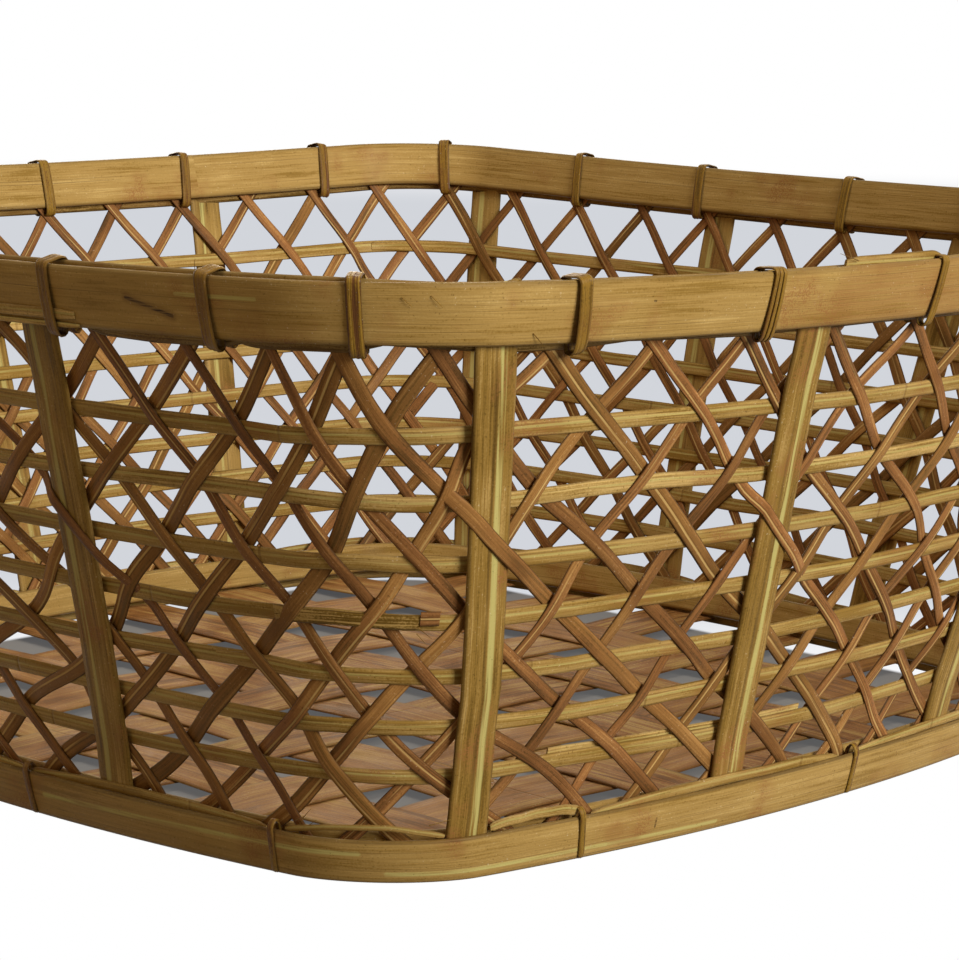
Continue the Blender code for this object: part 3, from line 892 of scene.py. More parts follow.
@dataclass(frozen=True)
class Layers:
    """Depths of the middles of the wall's layers, from the hoops' outer face inwards.

    Between the rim and base hoops, which squeeze them together, the stakes and the weave lie
    deeper.
    """

    stake: float = 3.3 * MM
    stake_deepening: float = 0.8 * MM
    weave: float = 4.9 * MM
    weave_deepening: float = 1.2 * MM
    inner_hoop: float = 6.8 * MM
    low: tuple[float, float] = (15.0 * MM, 31.0 * MM)
    high: tuple[float, float] = (139.0 * MM, 158.0 * MM)

    def slack(self, height: np.ndarray) -> np.ndarray:
        """1 between the hoops and 0 in their grip."""
        return smooth(height, *self.low) * (1 - smooth(height, *self.high))

    def stake_at(self, height: np.ndarray) -> np.ndarray:
        """Depth of the stakes at heights."""
        return self.stake + self.stake_deepening * self.slack(height)

    def weave_at(self, height: np.ndarray) -> np.ndarray:
        """Depth of the weave at heights."""
        return self.weave + self.weave_deepening * self.slack(height)


LAYERS = Layers()


def wrapped(place: np.ndarray) -> np.ndarray:
    """Places, or distances between places, brought between -0.5 and 0.5."""
    return (place + 0.5) % 1.0 - 0.5


def read_round(table: tuple[tuple[float, float], ...], places: np.ndarray) -> np.ndarray:
    """A table of places and millimetres, read at other places, in metres."""
    marks = np.array(sorted((place % 1.0, value) for place, value in table))
    return np.interp(places, marks[:, 0], marks[:, 1], period=1.0) * MM


@dataclass(frozen=True)
class WallMark:
    """A mark on a hoop, such as a scar, a scratch or a line of painted shadow: places and heights of its
    ends, with heights in millimetres.
    """

    start: tuple[float, float]
    end: tuple[float, float]
    reach: float
    tone: Tone
    share: float


@dataclass(frozen=True)
class StripEnd:
    """A strip that ends at the rim: its places, with its height, width, depth and thickness in mm."""

    name: str
    start: float
    end: float
    height: float
    width: float
    inset: float
    thickness: float
    above: bool = False


@dataclass
class HoopBands:
    """The four hoops, and the strips between and over the rim hoops."""

    wall: Wall
    weaver: Weaver
    rim_height: float = 0.178
    band_height: float = 18.3 * MM
    outer_thickness: float = 2.0 * MM
    outer_inset: float = 1.2 * MM
    inner_thickness: float = 2.0 * MM
    base_height: float = 14.6 * MM
    base_thickness: float = 1.5 * MM
    base_inset: float = 0.95 * MM
    base_inner_low: float = 4.2 * MM
    base_inner_high: float = 16.0 * MM
    filler_high: float = 177.0 * MM
    filler_inset: float = 3.9 * MM
    filler_lows: tuple[tuple[float, float], ...] = (
        (-0.30, 158.2), (-0.24, 157.2), (-0.18, 158.4), (-0.12, 157.6), (-0.0625, 159.5),
        (-0.0586, 157.5), (-0.047, 156.8), (-0.0323, 157.2), (-0.0279, 158.5), (-0.025, 157.6),
        (-0.0063, 157.2), (0.0, 159.4), (0.0254, 157.4), (0.0381, 157.6), (0.05, 159.0),
        (0.075, 158.2), (0.11, 158.8), (0.17, 157.6), (0.24, 158.6), (0.33, 157.5), (0.45, 158.5),
        (0.58, 157.6),
    )
    steps: int = 900
    joint_share: float = 0.5711
    end_steps: int = 60
    rim_round: float = 170.0 * MM
    end_girth: float = 0.72
    end_taper: float = 6.0 * MM
    raised_fall: float = 3.0 * MM
    raised_dip: tuple[float, float] = (0.1229, 0.1290)

    def ring_places(self) -> np.ndarray:
        """Places of one turn, from its joint on."""
        return self.joint_share + np.linspace(0.0, 1.0, self.steps + 1)

    def ring(self, heights: object, inset: float, girth: object = None) -> Route:
        """One turn of the wall at a height and depth, with its joint under a lashing at the back."""
        return self.wall.route(self.ring_places(), heights, inset, girth)

    def round_table(self, table: tuple[tuple[float, float], ...]) -> np.ndarray:
        """A table of places and millimetres, read at the ring's places, in metres."""
        return read_round(table, self.ring_places())

    def marked(self, finish: CaneFinish, name: str, middle: float, marks: tuple[WallMark, ...]) -> CaneFinish:
        """A hoop's finish with marks.

        Args:
            finish: The finish without marks.
            name: The new finish's name.
            middle: Height of the hoop's middle.
            marks: The marks.

        Returns:
            The finish with marks.
        """
        turn = self.wall.round(middle)

        def on_strip(place: float, height: float) -> tuple[float, float]:
            """A place and height as a distance along and across the strip."""
            return ((place - self.joint_share) % 1.0) * turn, middle - height * MM

        found = tuple(
            Mark(on_strip(*mark.start), on_strip(*mark.end), mark.reach * MM, mark.tone, mark.share)
            for mark in marks
        )
        return replace(finish, name=name, marks=found)

    def build(self) -> None:
        """Makes the hoops."""
        rim_middle = self.rim_height - self.band_height / 2
        self.weaver.weave(
            "rim_outer_band", [self.ring(rim_middle, self.outer_inset)],
            StripSizes(self.band_height, self.outer_thickness, crown=0.35 * MM, corner=24.0,
                       sides=24, wander=0.15 * MM, seed=3),
            self.marked(BAND, "rim_hoop_cane", rim_middle, RIM_MARKS), ("rim_outer_hoop",),
        )
        self.weaver.weave(
            "rim_inner_band",
            [self.ring(rim_middle + self.round_table(INNER_RISES), LAYERS.inner_hoop)],
            StripSizes(self.band_height, self.inner_thickness, crown=-0.2 * MM, corner=24.0, sides=20,
                       wander=0.2 * MM, seed=4),
            BAND, ("rim_inner_hoop",),
        )
        low = self.round_table(self.filler_lows)
        width = self.filler_high - low
        self.weaver.weave(
            "rim_filler_strip",
            [self.ring((low + self.filler_high) / 2, self.filler_inset, width / width.max())],
            StripSizes(float(width.max()), 0.8 * MM, corner=24.0, sides=16, seed=5),
            FILLER, slot="rim_outer_hoop_cane",
        )
        self.strip_ends()
        self.weaver.weave(
            "base_outer_band", [self.ring(self.base_height / 2, self.base_inset)],
            StripSizes(self.base_height, self.base_thickness, crown=0.3 * MM, corner=24.0,
                       sides=24, seed=6),
            self.marked(BAND, "base_hoop_cane", self.base_height / 2, BASE_MARKS), ("base_outer_hoop",),
        )
        self.weaver.weave(
            "base_inner_band",
            [self.ring((self.base_inner_low + self.base_inner_high) / 2, LAYERS.inner_hoop)],
            StripSizes(self.base_inner_high - self.base_inner_low, self.inner_thickness,
                       corner=20.0, sides=16, seed=7),
            BAND, ("base_inner_hoop",),
        )

    def strip_ends(self) -> None:
        """Makes the strips that end at the rim: two low on its outside, one standing above it."""
        for number, strip in enumerate(RIM_STRIP_ENDS):
            places = np.linspace(strip.start, strip.end, self.end_steps)
            tip = strip.start if strip.above else strip.end
            near_end = np.abs(places - tip) * self.wall.round(self.rim_round)
            girth = self.end_girth + (1 - self.end_girth) * smooth(near_end, 0.0, self.end_taper)
            dip = self.raised_fall * smooth(places, *self.raised_dip) if strip.above else 0.0
            self.weaver.weave(
                strip.name,
                [self.wall.route(places, strip.height * MM - dip, strip.inset * MM, girth, number)],
                StripSizes(strip.width * MM, strip.thickness * MM, crown=0.1 * MM, seed=8 + number),
                ROW, slot="rim_outer_hoop_cane",
            )


@dataclass(frozen=True)
class HandWork:
    """How far the weave strays from an even one, in thousandths of the way round.

    Each row, counted from 1 at the top, has the place of its first crossing in an even weave and
    the shifts of the crossings from there on.
    """

    rows: dict[int, tuple[float, tuple[float, ...]]]
    lean: float = 1.9
    lean_places: tuple[float, ...] = (-0.03, 0.03, 0.17, 0.24)
    lean_amounts: tuple[float, ...] = (0.0, 1.0, 1.0, 0.0)
    place_reach: float = 0.011
    row_reach: float = 0.75
    own_weight: float = 0.12

    def shift(self, place: np.ndarray, row: np.ndarray, pitch: float) -> np.ndarray:
        """Shift of the weave at places and rows.

        Args:
            place: Places in the even weave.
            row: Row numbers from 1 at the top, also between rows.
            pitch: Distance between crossings of one row.

        Returns:
            Shares of the way round.
        """
        nearest = wrapped(place)
        amount = np.interp(nearest, self.lean_places, self.lean_amounts)
        total = self.lean * np.maximum(row - 1, 0) * amount * self.own_weight
        weight = np.full(len(place), self.own_weight)
        for number, (first, shifts) in self.rows.items():
            for index, shift in enumerate(shifts):
                away = ((nearest - first - index * pitch) / self.place_reach) ** 2
                away += ((row - number) / self.row_reach) ** 2
                near = np.exp(-away / 2)
                total, weight = total + near * shift, weight + near
        return total / weight / 1000


@dataclass(frozen=True)
class LooseEnd:
    """A strip beside a row: its places, with its rise over the row and its lift outwards in mm."""

    name: str
    finish: CaneFinish
    row: int
    start: float
    end: float
    rise: float
    outwards: float


@dataclass(frozen=True)
class Fibre:
    """A stray fibre: place and height of its ends, with heights, depth and curl in mm."""

    start: tuple[float, float]
    end: tuple[float, float]
    inset: float
    curl: float


@dataclass
class OpenWeave:
    """The wall's three-way weave: level rows and splints that slant both ways."""

    wall: Wall
    weaver: Weaver
    stake_places: tuple[float, ...]
    hand: HandWork
    row_count: int = 7
    top_row: float = 136.5 * MM
    lowest_row: float = 33.5 * MM
    shrink: float = 0.955
    row_width: float = 5.1 * MM
    row_thickness: float = 0.8 * MM
    each_way: int = 48
    splint_width: float = 4.6 * MM
    splint_thickness: float = 0.8 * MM
    swing: float = 0.85 * MM
    over_stake_inset: float = 2.8 * MM
    start_share: float = -0.003
    crossing_rise: float = 2.5 * MM
    drops: dict[int, tuple[tuple[float, float], ...]] = field(default_factory=lambda: ROW_DROPS)
    top: float = 168.0 * MM
    foot: float = 6.0 * MM
    step: float = 2.2 * MM
    wander: float = 0.6 * MM
    middle: float = 90.0 * MM
    over_height: float = 99.0 * MM
    over_span: tuple[float, float] = (20.0 * MM, 32.0 * MM)
    landing_below: tuple[float, float] = (7.4 * MM, 26.0 * MM)
    landing_above: tuple[float, float] = (7.2 * MM, 14.0 * MM)
    row_turn: float = 1.035
    row_steps: int = 760
    row_knots: int = 40
    row_wave: float = 0.175 * MM
    row_joints: tuple[float, float] = (0.11, 0.37)  # a place, and the step to the next row's joint
    over_row: float = 3.4 * MM
    under_row: float = 1.6 * MM
    loose_width: float = 4.8 * MM
    loose_thickness: float = 0.6 * MM
    loose_steps: int = 90
    fibre_steps: int = 14
    halves: tuple[str, ...] = (
        "front_left", "front_right", "right_front", "right_back",
        "back_right", "back_left", "left_back", "left_front",
    )

    def rows(self) -> np.ndarray:
        """Heights of the rows, from the top."""
        fall = 1 - self.shrink ** np.arange(self.row_count)
        return self.top_row + (self.lowest_row - self.top_row) * fall / fall[-1]

    def level(self, places: np.ndarray, heights: np.ndarray) -> np.ndarray:
        """Heights in an even weave of points on the real one, whose rows sag here and there.

        Args:
            places: The points' places.
            heights: Their heights.

        Returns:
            The heights they would have if each row were level.
        """
        rows = self.rows()
        sags = np.stack([read_round(self.drops[row], places) for row in range(1, len(rows) + 1)])
        between = np.interp(-heights, -rows, np.arange(len(rows)))
        above = np.minimum(between.astype(int), len(rows) - 2)
        share = between - above
        column = np.arange(len(heights))
        sag = sags[above, column] * (1 - share) + sags[above + 1, column] * share
        grip = smooth(heights, self.foot, 30 * MM) * (1 - smooth(heights, 146 * MM, self.top))
        return heights + sag * grip

    def row_at(self, height: np.ndarray) -> np.ndarray:
        """Row number at a height: 1 where splints cross above the top row, and more below.

        Args:
            height: Heights.

        Returns:
            Row numbers, also between rows.
        """
        marks = self.rows() + self.crossing_rise
        first, last = marks[0] - marks[1], marks[-2] - marks[-1]
        marks = np.concatenate([[marks[0] + 3 * first], marks, [marks[-1] - 3 * last]])
        numbers = np.concatenate([[-2.0], np.arange(1, self.row_count + 1), [self.row_count + 3.0]])
        return np.interp(height, marks[::-1], numbers[::-1])

    def weaving(self, height: np.ndarray, direction: int) -> np.ndarray:
        """Outward shift of a splint: over one row and under the next.

        Args:
            height: Heights.
            direction: 1 for a splint to the right on its way down, -1 for one to the left.

        Returns:
            The shifts.
        """
        rows = self.rows()
        marks, sides = [self.top, rows[0] + 14 * MM], [0.4 * direction, 0.2 * direction]
        for row, middle in enumerate(rows):
            side = direction * (1 if row % 2 == 0 else -1)
            marks += [middle + self.over_row, middle - self.under_row]
            sides += [side, side]
        marks += [self.foot]
        sides += [-0.6 * sides[-1]]
        bent = np.interp(height, marks[::-1], sides[::-1])
        soft = np.convolve(np.pad(bent, 1, mode="edge"), [0.25, 0.5, 0.25], mode="valid")
        return self.swing * soft

    def splint(self, start: float, direction: int, strand: int) -> Route:
        """One slanting splint.

        Args:
            start: Its place where the two ways start from.
            direction: 1 to the right on its way down, -1 to the left.
            strand: Its number.

        Returns:
            Its line.
        """
        rng = np.random.default_rng(strand * 7 + 11)
        heights = np.arange(self.top, self.foot, -self.step)
        even = start + direction * self.row_at(heights) / (2 * self.each_way)
        level = self.level(even, heights)
        row = self.row_at(level)
        even = start + direction * row / (2 * self.each_way)
        wander = np.interp(heights, np.linspace(self.foot, self.top, 5), rng.normal(0, self.wander, 5))
        places = even + self.hand.shift(even, row, 1 / self.each_way) + wander / self.wall.round(self.middle)
        inset = LAYERS.weave_at(heights) - self.weaving(level, direction)
        if direction > 0:
            inset = self.over_stake(places, heights, inset)
        return self.wall.route(places, heights, inset, None, strand)

    def over_stake(self, places: np.ndarray, heights: np.ndarray, inset: np.ndarray) -> np.ndarray:
        """Lifts a splint over the stake that it meets near the third row.

        Args:
            places: The splint's places, from the top down.
            heights: Their heights.
            inset: Their depths.

        Returns:
            The depths with the lift.
        """
        at_row = float(np.interp(-self.over_height, -heights, places))
        for stake in self.stake_places:
            if abs(wrapped(at_row - stake)) < 0.5 / self.each_way:
                offset = wrapped(places - stake)
                away = np.abs(offset) * self.wall.round(self.over_height + MM)
                below = heights < np.interp(0.0, offset, heights)
                near = 1 - np.where(
                    below, smooth(away, *self.landing_below), smooth(away, *self.landing_above)
                )
                near = near * (1 - smooth(np.abs(heights - self.over_height), *self.over_span))
                inset = inset * (1 - near) + self.over_stake_inset * near
        return inset

    def loose_ends(self) -> None:
        """Makes the strip that doubles row 7, the broken end on row 4 and the stray fibres."""
        rows = self.rows()
        for end in LOOSE_ENDS:
            places = np.linspace(end.start, end.end, self.loose_steps)
            heights = rows[end.row - 1] + end.rise * MM - read_round(self.drops[end.row], places)
            inset = LAYERS.weave_at(heights) - end.outwards * MM
            self.weaver.weave(
                end.name, [self.wall.route(places, heights, inset, None, end.row)],
                StripSizes(self.loose_width, self.loose_thickness, width_change=0.1, seed=33 + end.row),
                end.finish, slot=f"weaver_row_{end.row}_cane",
            )
        share = np.linspace(0, 1, self.fibre_steps)
        fibres = []
        for number, fibre in enumerate(FIBRES):
            places = fibre.start[0] + (fibre.end[0] - fibre.start[0]) * share
            heights = (fibre.start[1] + (fibre.end[1] - fibre.start[1]) * share) * MM
            depth = (fibre.inset - fibre.curl * np.sin(math.pi * share * 0.8)) * MM
            fibres.append(self.wall.route(places, heights, depth, 1.1 - 0.7 * share, number))
        self.weaver.weave(
            "stray_fibres", fibres, StripSizes(0.28 * MM, 0.2 * MM, corner=3.0, seed=36, sides=6),
            LASHING, slot="weaver_row_4_cane",
        )

    def row(self, row: int, height: float) -> Route:
        """One row's line, a little more than once round, with its ends laid over each other.

        Args:
            row: Its number from 1 at the top.
            height: Its height where it is level.

        Returns:
            Its line.
        """
        rng = np.random.default_rng(row)
        start = (self.row_joints[0] + self.row_joints[1] * row) % 1.0
        places = start + np.linspace(0.0, self.row_turn, self.row_steps)
        turned = places - start
        outer_end, inner_end = smooth(turned, 0.97, 1.0), 1 - smooth(turned, 0.0, 0.04)
        inset = LAYERS.weave_at(height) + 0.45 * MM * outer_end - 0.40 * MM * inner_end
        knots = np.linspace(0, self.row_turn, self.row_knots)
        wave = np.interp(turned, knots, rng.normal(0, self.row_wave, self.row_knots))
        heights = height + wave - read_round(self.drops[row], places)
        thin = 0.35 * (1 - smooth(turned, 0.0, 0.01)), 0.4 * smooth(turned, 1.02, self.row_turn)
        return self.wall.route(places, heights, inset, 1.0 - thin[0] - thin[1], row)

    def build(self) -> None:
        """Makes the rows and the splints."""
        for row, height in enumerate(self.rows(), start=1):
            self.weaver.weave(
                f"row_strip_{row}", [self.row(row, height)],
                StripSizes(self.row_width, self.row_thickness, crown=0.18 * MM, width_change=0.10,
                           wander=0.2 * MM, seed=20 + row, sides=12),
                ROW, (f"weaver_row_{row}",),
            )
        self.loose_ends()
        share = self.each_way // len(self.halves)
        for part, half in enumerate(self.halves):
            first = part / len(self.halves) + self.start_share + 1 / (4 * self.each_way)
            routes = []
            for index in range(share):
                place = first + (index + 0.5) / self.each_way
                for direction in (1, -1):
                    strand = (part * share + index) * 2 + (direction > 0)
                    routes.append(self.splint(place, direction, strand))
            self.weaver.weave(
                f"{half}_slanting_splints", routes,
                StripSizes(self.splint_width, self.splint_thickness, crown=0.12 * MM, width_change=0.28,
                           wander=0.2 * MM, seed=40, sides=10),
                SPLINT, (f"{half}_splints",),
            )


@dataclass
class Stakes:
    """The upright stakes outside the weave."""

    wall: Wall
    weaver: Weaver
    places: tuple[float, ...]
    width: float = 14.4 * MM
    thickness: float = 1.5 * MM
    top: float = 176.5 * MM
    foot: float = 4.4 * MM
    middle: float = 90.0 * MM
    lean: float = 0.5 * MM
    steps: int = 60

    def build(self) -> None:
        """Makes the stakes."""
        heights = np.linspace(self.foot, self.top, self.steps)
        for number, place in enumerate(self.places, start=1):
            rng = np.random.default_rng(100 + number)
            lean = rng.normal(0, self.lean) * (heights - self.middle) / self.middle
            if number in STAKE_BENDS:
                marks = np.array(STAKE_BENDS[number])
                lean = lean + np.interp(heights / MM, marks[:, 0], marks[:, 1]) * MM
            lean = lean / self.wall.round(self.middle)
            inset = LAYERS.stake_at(heights)
            girth = np.interp(heights, [self.foot, self.top], [0.985, 1.03]) * rng.uniform(0.97, 1.03)
            self.weaver.weave(
                f"stake_strip_{number:02d}",
                [self.wall.route(place + lean, heights, inset, girth, number)],
                StripSizes(self.width, self.thickness, crown=0.30 * MM, corner=16.0, width_change=0.03,
                           seed=70, sides=20),
                STAKE_LEFT if number in LEFT_STREAKED_STAKES else STAKE, (f"stake_{number:02d}",),
            )


@dataclass(frozen=True)
class Lashing:
    """One lashing, in millimetres: its slack in front, the shift of its foot, its width and strands."""

    slack: float
    foot: float
    width: float = 4.5
    strands: int = 1


@dataclass
class RimLashings:
    """The lashings, each a ribbed strip wound once round both rim hoops."""

    wall: Wall
    weaver: Weaver
    places: tuple[float, ...]
    measured: dict[int, Lashing]
    thickness: float = 0.55 * MM
    ridges: float = 0.09 * MM
    low: float = 157.0 * MM
    high: float = 178.5 * MM
    turn_steps: int = 72
    rim_round: float = 170.0 * MM
    slacks: tuple[float, float] = (0.3, 1.2)  # in millimetres, as a Lashing has them
    foot_shift: float = 1.3
    widths: tuple[float, float] = (4.1, 4.8)
    section: tuple[tuple[float, float], ...] = (
        (2.9, 163.0), (2.9, 160.0), (2.5, 158.3), (1.6, 157.3), (0.6, 157.1), (0.0, 157.6),
        (-0.25, 158.6), (-0.35, 160.0), (-0.35, 176.9), (-0.1, 178.0), (0.6, 178.45), (3.0, 178.45),
        (6.8, 178.5), (7.8, 178.4), (8.3, 177.4), (8.5, 174.0), (8.6, 168.0), (8.4, 162.0),
        (8.1, 159.5), (7.4, 158.2), (6.2, 157.6), (5.1, 158.3), (4.7, 160.0), (4.7, 163.0),
    )
    bulges: tuple[tuple[float, float], ...] = (
        (157.0, 0.3), (158.5, 0.8), (161.0, 1.0), (168.0, 0.88), (174.0, 0.5), (176.6, 0.3), (178.4, 0.0),
    )

    def turn(self) -> tuple[np.ndarray, np.ndarray]:
        """One turn round the two hoops, from the end tucked behind the outer one.

        Returns:
            Its depths and heights.
        """
        bent = evenly(np.array(self.section) * MM, self.turn_steps)
        padded = [np.pad(line, 1, mode="edge") for line in bent]
        depth, height = ((line[:-2] + line[1:-1] * 2 + line[2:]) / 4 for line in padded)
        return depth, height

    def strand(self, place: float, lashing: Lashing, offset: float, slack: float, number: int) -> Route:
        """One strand's line.

        Args:
            place: The lashing's place.
            lashing: Its measures.
            offset: The strand's distance from the lashing's middle.
            slack: How far it stands off in front, in millimetres.
            number: Its number.

        Returns:
            The line.
        """
        depth, height = self.turn()
        rise = read_round(INNER_RISES, np.array([place]))[0]
        height = height + rise * smooth(height, 176 * MM, 178.4 * MM) * smooth(depth, 1 * MM, 6 * MM)
        marks = np.array(self.bulges)
        bulge = np.interp(height / MM, marks[:, 0], marks[:, 1]) * (1 - smooth(depth, 0.6 * MM, 2 * MM))
        depth = depth - slack * MM * bulge
        share = np.clip((height - self.low) / (self.high - self.low), 0.0, 1.0)
        across = offset + lashing.foot * MM * (1 - share) ** 1.5
        places = place + across / self.wall.round(self.rim_round)
        run, rise = np.gradient(depth), np.gradient(height)
        length = np.hypot(run, rise)
        up = units(self.wall.at(places, height + MM, 4 * MM) - self.wall.at(places, height, 4 * MM))
        outward = self.wall.outward(places, height) * (rise / length)[:, None] + up * (run / length)[:, None]
        return Route(self.wall.at(places, height, depth), units(outward), None, number)

    def build(self) -> None:
        """Makes the lashings."""
        for number, place in enumerate(self.places, start=1):
            rng = np.random.default_rng(200 + number)
            guess = Lashing(
                rng.uniform(*self.slacks), rng.normal(0, self.foot_shift), rng.uniform(*self.widths)
            )
            lashing = self.measured.get(number, guess)
            pitch = lashing.width * MM / lashing.strands
            routes = []
            for strand in range(lashing.strands):
                offset = (strand - (lashing.strands - 1) / 2) * pitch
                slack = lashing.slack + (0.3 * strand if lashing.strands > 1 else 0.0)
                routes.append(self.strand(place, lashing, offset, slack, number * 5 + strand))
            single = lashing.strands == 1
            self.weaver.weave(
                f"lashing_strip_{number:02d}", routes,
                StripSizes(pitch * (1.0 if single else 0.94), self.thickness, crown=0.08 * MM,
                           corner=8.0, ridges=self.ridges if single else 0.0, width_change=0.10,
                           seed=90, sides=32 if single else 12),
                LASHING, (f"rim_lashing_{number:02d}",),
            )


@dataclass(frozen=True)
class Rail:
    """One rail on the base hoop: its ends as places, and its width and rise at its middle in mm."""

    start: float
    end: float
    width: float = 3.6
    rise: float = 3.0
    foot_rise: float = 1.0


@dataclass
class BaseTrim:
    """The ties round the base hoops and the rails behind the outer one."""

    wall: Wall
    weaver: Weaver
    tie_places: tuple[float, ...]
    rails: tuple[Rail, ...]
    tie_width: float = 2.4 * MM
    tie_lean: float = 0.9 * MM
    tie_steps: int = 40
    rail_width: float = 3.6 * MM
    rail_steps: int = 70
    rail_thickness: float = 0.7 * MM
    rail_inset: float = 2.2 * MM
    rail_wave: float = 0.25 * MM
    rail_fullness: float = 2.4
    hoop_height: float = 14.6 * MM
    tie_section: tuple[tuple[float, float], ...] = (
        (1.2, 0.9), (-0.1, 0.9), (-0.3, 1.6), (-0.35, 4.0), (-0.35, 12.6), (-0.3, 14.2), (0.0, 15.2),
        (0.7, 16.2), (1.8, 17.0), (2.9, 16.8), (3.5, 15.4), (3.6, 13.5),
    )

    def tie(self, place: float, number: int) -> Route:
        """One tie's line, up the outside of the hoop and over the rail.

        Args:
            place: The tie's place.
            number: Its number.

        Returns:
            Its line.
        """
        inset, heights = evenly(np.array(self.tie_section) * MM, self.tie_steps)
        lean = self.tie_lean * (0.5 - np.clip(heights / self.hoop_height, 0, 1))
        places = place + lean / self.wall.round(0.01)
        tip = np.arctan2(np.gradient(inset), np.abs(np.gradient(heights)) + 1e-6)[:, None]
        outward = self.wall.outward(places, heights) * np.cos(tip)
        outward[:, 2:] += np.sign(heights - 7 * MM)[:, None] * np.abs(np.sin(tip))
        return Route(self.wall.at(places, heights, inset), units(outward), None, number)

    def rail(self, rail: Rail, number: int) -> Route:
        """One rail's line, which rises between its ends.

        Args:
            rail: Its measures.
            number: Its number.

        Returns:
            Its line.
        """
        places = np.linspace(rail.start, rail.end, self.rail_steps)
        share = np.linspace(-1, 1, self.rail_steps)
        rng = np.random.default_rng(300 + number)
        wave = np.interp(share, np.linspace(-1, 1, 7), rng.normal(0, self.rail_wave, 7))
        top = rail.foot_rise + (rail.rise - rail.foot_rise) * (1 - np.abs(share) ** self.rail_fullness)
        heights = self.hoop_height + (top - rail.width / 2) * MM + wave
        tip = smooth(np.abs(share), 0.93, 1.0)
        girth = (rail.width * MM / self.rail_width) * (1.0 - 0.35 * tip)
        return self.wall.route(places, heights, self.rail_inset, girth, number)

    def build(self) -> None:
        """Makes the ties and rails."""
        self.weaver.weave(
            "base_ties", [self.tie(place, number) for number, place in enumerate(self.tie_places)],
            StripSizes(self.tie_width, 0.6 * MM, crown=0.2 * MM, corner=6.0, ridges=0.05 * MM,
                       width_change=0.1, seed=110, sides=20),
            LASHING, slot="base_outer_hoop_cane",
        )
        self.weaver.weave(
            "base_rail_strips", [self.rail(rail, number) for number, rail in enumerate(self.rails)],
            StripSizes(self.rail_width, self.rail_thickness, crown=0.12 * MM, width_change=0.12, seed=120),
            ROW, slot="base_outer_hoop_cane",
        )


@dataclass
class FloorStrips:
    """The floor: wide strips woven over and under each other."""

    wall: Wall
    weaver: Weaver
    each_way: int = 8
    pitch: float = 49.5 * MM
    width: float = 30.0 * MM
    thickness: float = 0.8 * MM
    middle: float = 2.7 * MM
    swing: float = 0.55 * MM
    edge_inset: float = 3.4 * MM
    outline_steps: int = 3200
    outline_reach: float = 0.6 * MM
    steps: int = 121

    def reach(self, offset: float, level: int) -> float:
        """Half length of a strip of the floor, so that it ends inside the base hoop.

        Args:
            offset: The strip's distance from the middle of the floor.
            level: 0 for a strip along y, 1 for one along x.

        Returns:
            The half length.
        """
        places = np.linspace(0, 1, self.outline_steps, endpoint=False)
        outline = self.wall.at(places, self.middle, self.edge_inset)[:, :2]
        reaches = [0.0]
        for edge in (abs(offset) - self.width / 2, abs(offset) + self.width / 2):
            near = np.abs(np.abs(outline[:, level]) - max(edge, 0.0)) < self.outline_reach
            reaches.append(float(np.abs(outline[near, 1 - level]).min()) if near.any() else 0.0)
        return min(reaches[1:])

    def build(self) -> None:
        """Makes the floor."""
        routes = []
        for level in (0, 1):
            for index in range(self.each_way):
                offset = (index - (self.each_way - 1) / 2) * self.pitch
                reach = self.reach(offset, level)
                along = np.linspace(-reach, reach, self.steps)
                phase = along / self.pitch + (self.each_way - 1) / 2
                sign = 1 if (index + level) % 2 == 0 else -1
                height = self.middle + self.swing * sign * np.cos(math.pi * phase)
                points = np.zeros((len(along), 3))
                points[:, level] = offset
                points[:, 1 - level] = along
                points[:, 2] = height
                outward = np.tile(np.array([0.0, 0.0, 1.0]), (len(along), 1))
                routes.append(Route(points, outward, None, level * 20 + index))
        self.weaver.weave(
            "floor_strips", routes,
            StripSizes(self.width, self.thickness, corner=30.0, width_change=0.02, seed=130, sides=12),
            FLOOR, ("floor_weave",),
        )


# ------------------------------------------------------------------- the stage


@dataclass(frozen=True)
class CameraPlace:
    """The camera: where it stands, where it looks and how it is turned."""

    place: tuple[float, float, float] = (-0.7857, -0.8041, 0.2681)
    heading: float = 0.7977
    down: float = 0.16504
    roll: float = 0.01681
    focal_pixels: float = 3220.18
    image_width: int = 959
    sensor: float = 36.0

    def build(self) -> None:
        """Makes the camera."""
        data = bpy.data.cameras.new("camera")
        data.sensor_fit = "HORIZONTAL"
        data.sensor_width = self.sensor
        data.lens = self.focal_pixels / self.image_width * self.sensor
        data.clip_start, data.clip_end = 0.05, 60.0
        level = Vector((math.sin(self.heading), math.cos(self.heading), 0.0))
        ahead = level * math.cos(self.down) - Vector((0, 0, math.sin(self.down)))
        right = Vector((level.y, -level.x, 0.0))
        up = right.cross(ahead)
        turn = Matrix((right, up, -ahead)).transposed() @ Matrix.Rotation(self.roll, 3, "Z")
        camera = bpy.data.objects.new("camera", data)
        camera.matrix_world = Matrix.Translation(self.place) @ turn.to_4x4()
        bpy.context.scene.collection.objects.link(camera)
        bpy.context.scene.camera = camera


@dataclass(frozen=True)
class Lamp:
    """A soft square lamp that points at the basket, with its side in metres and power in watts."""

    TARGET: ClassVar[tuple[float, float, float]] = (0.0, 0.0, 0.1)

    name: str
    place: tuple[float, float, float]
    side: float
    power: float
    colour: tuple[float, float, float] = (1.0, 1.0, 1.0)

    def build(self) -> None:
        """Makes the lamp."""
        data = bpy.data.lights.new(self.name, "AREA")
        data.shape, data.size, data.energy, data.color = "SQUARE", self.side, self.power, self.colour
        lamp = bpy.data.objects.new(self.name, data)
        lamp.location = self.place
        lamp.rotation_euler = (Vector(self.TARGET) - Vector(self.place)).to_track_quat("-Z", "Y").to_euler()
        bpy.context.scene.collection.objects.link(lamp)


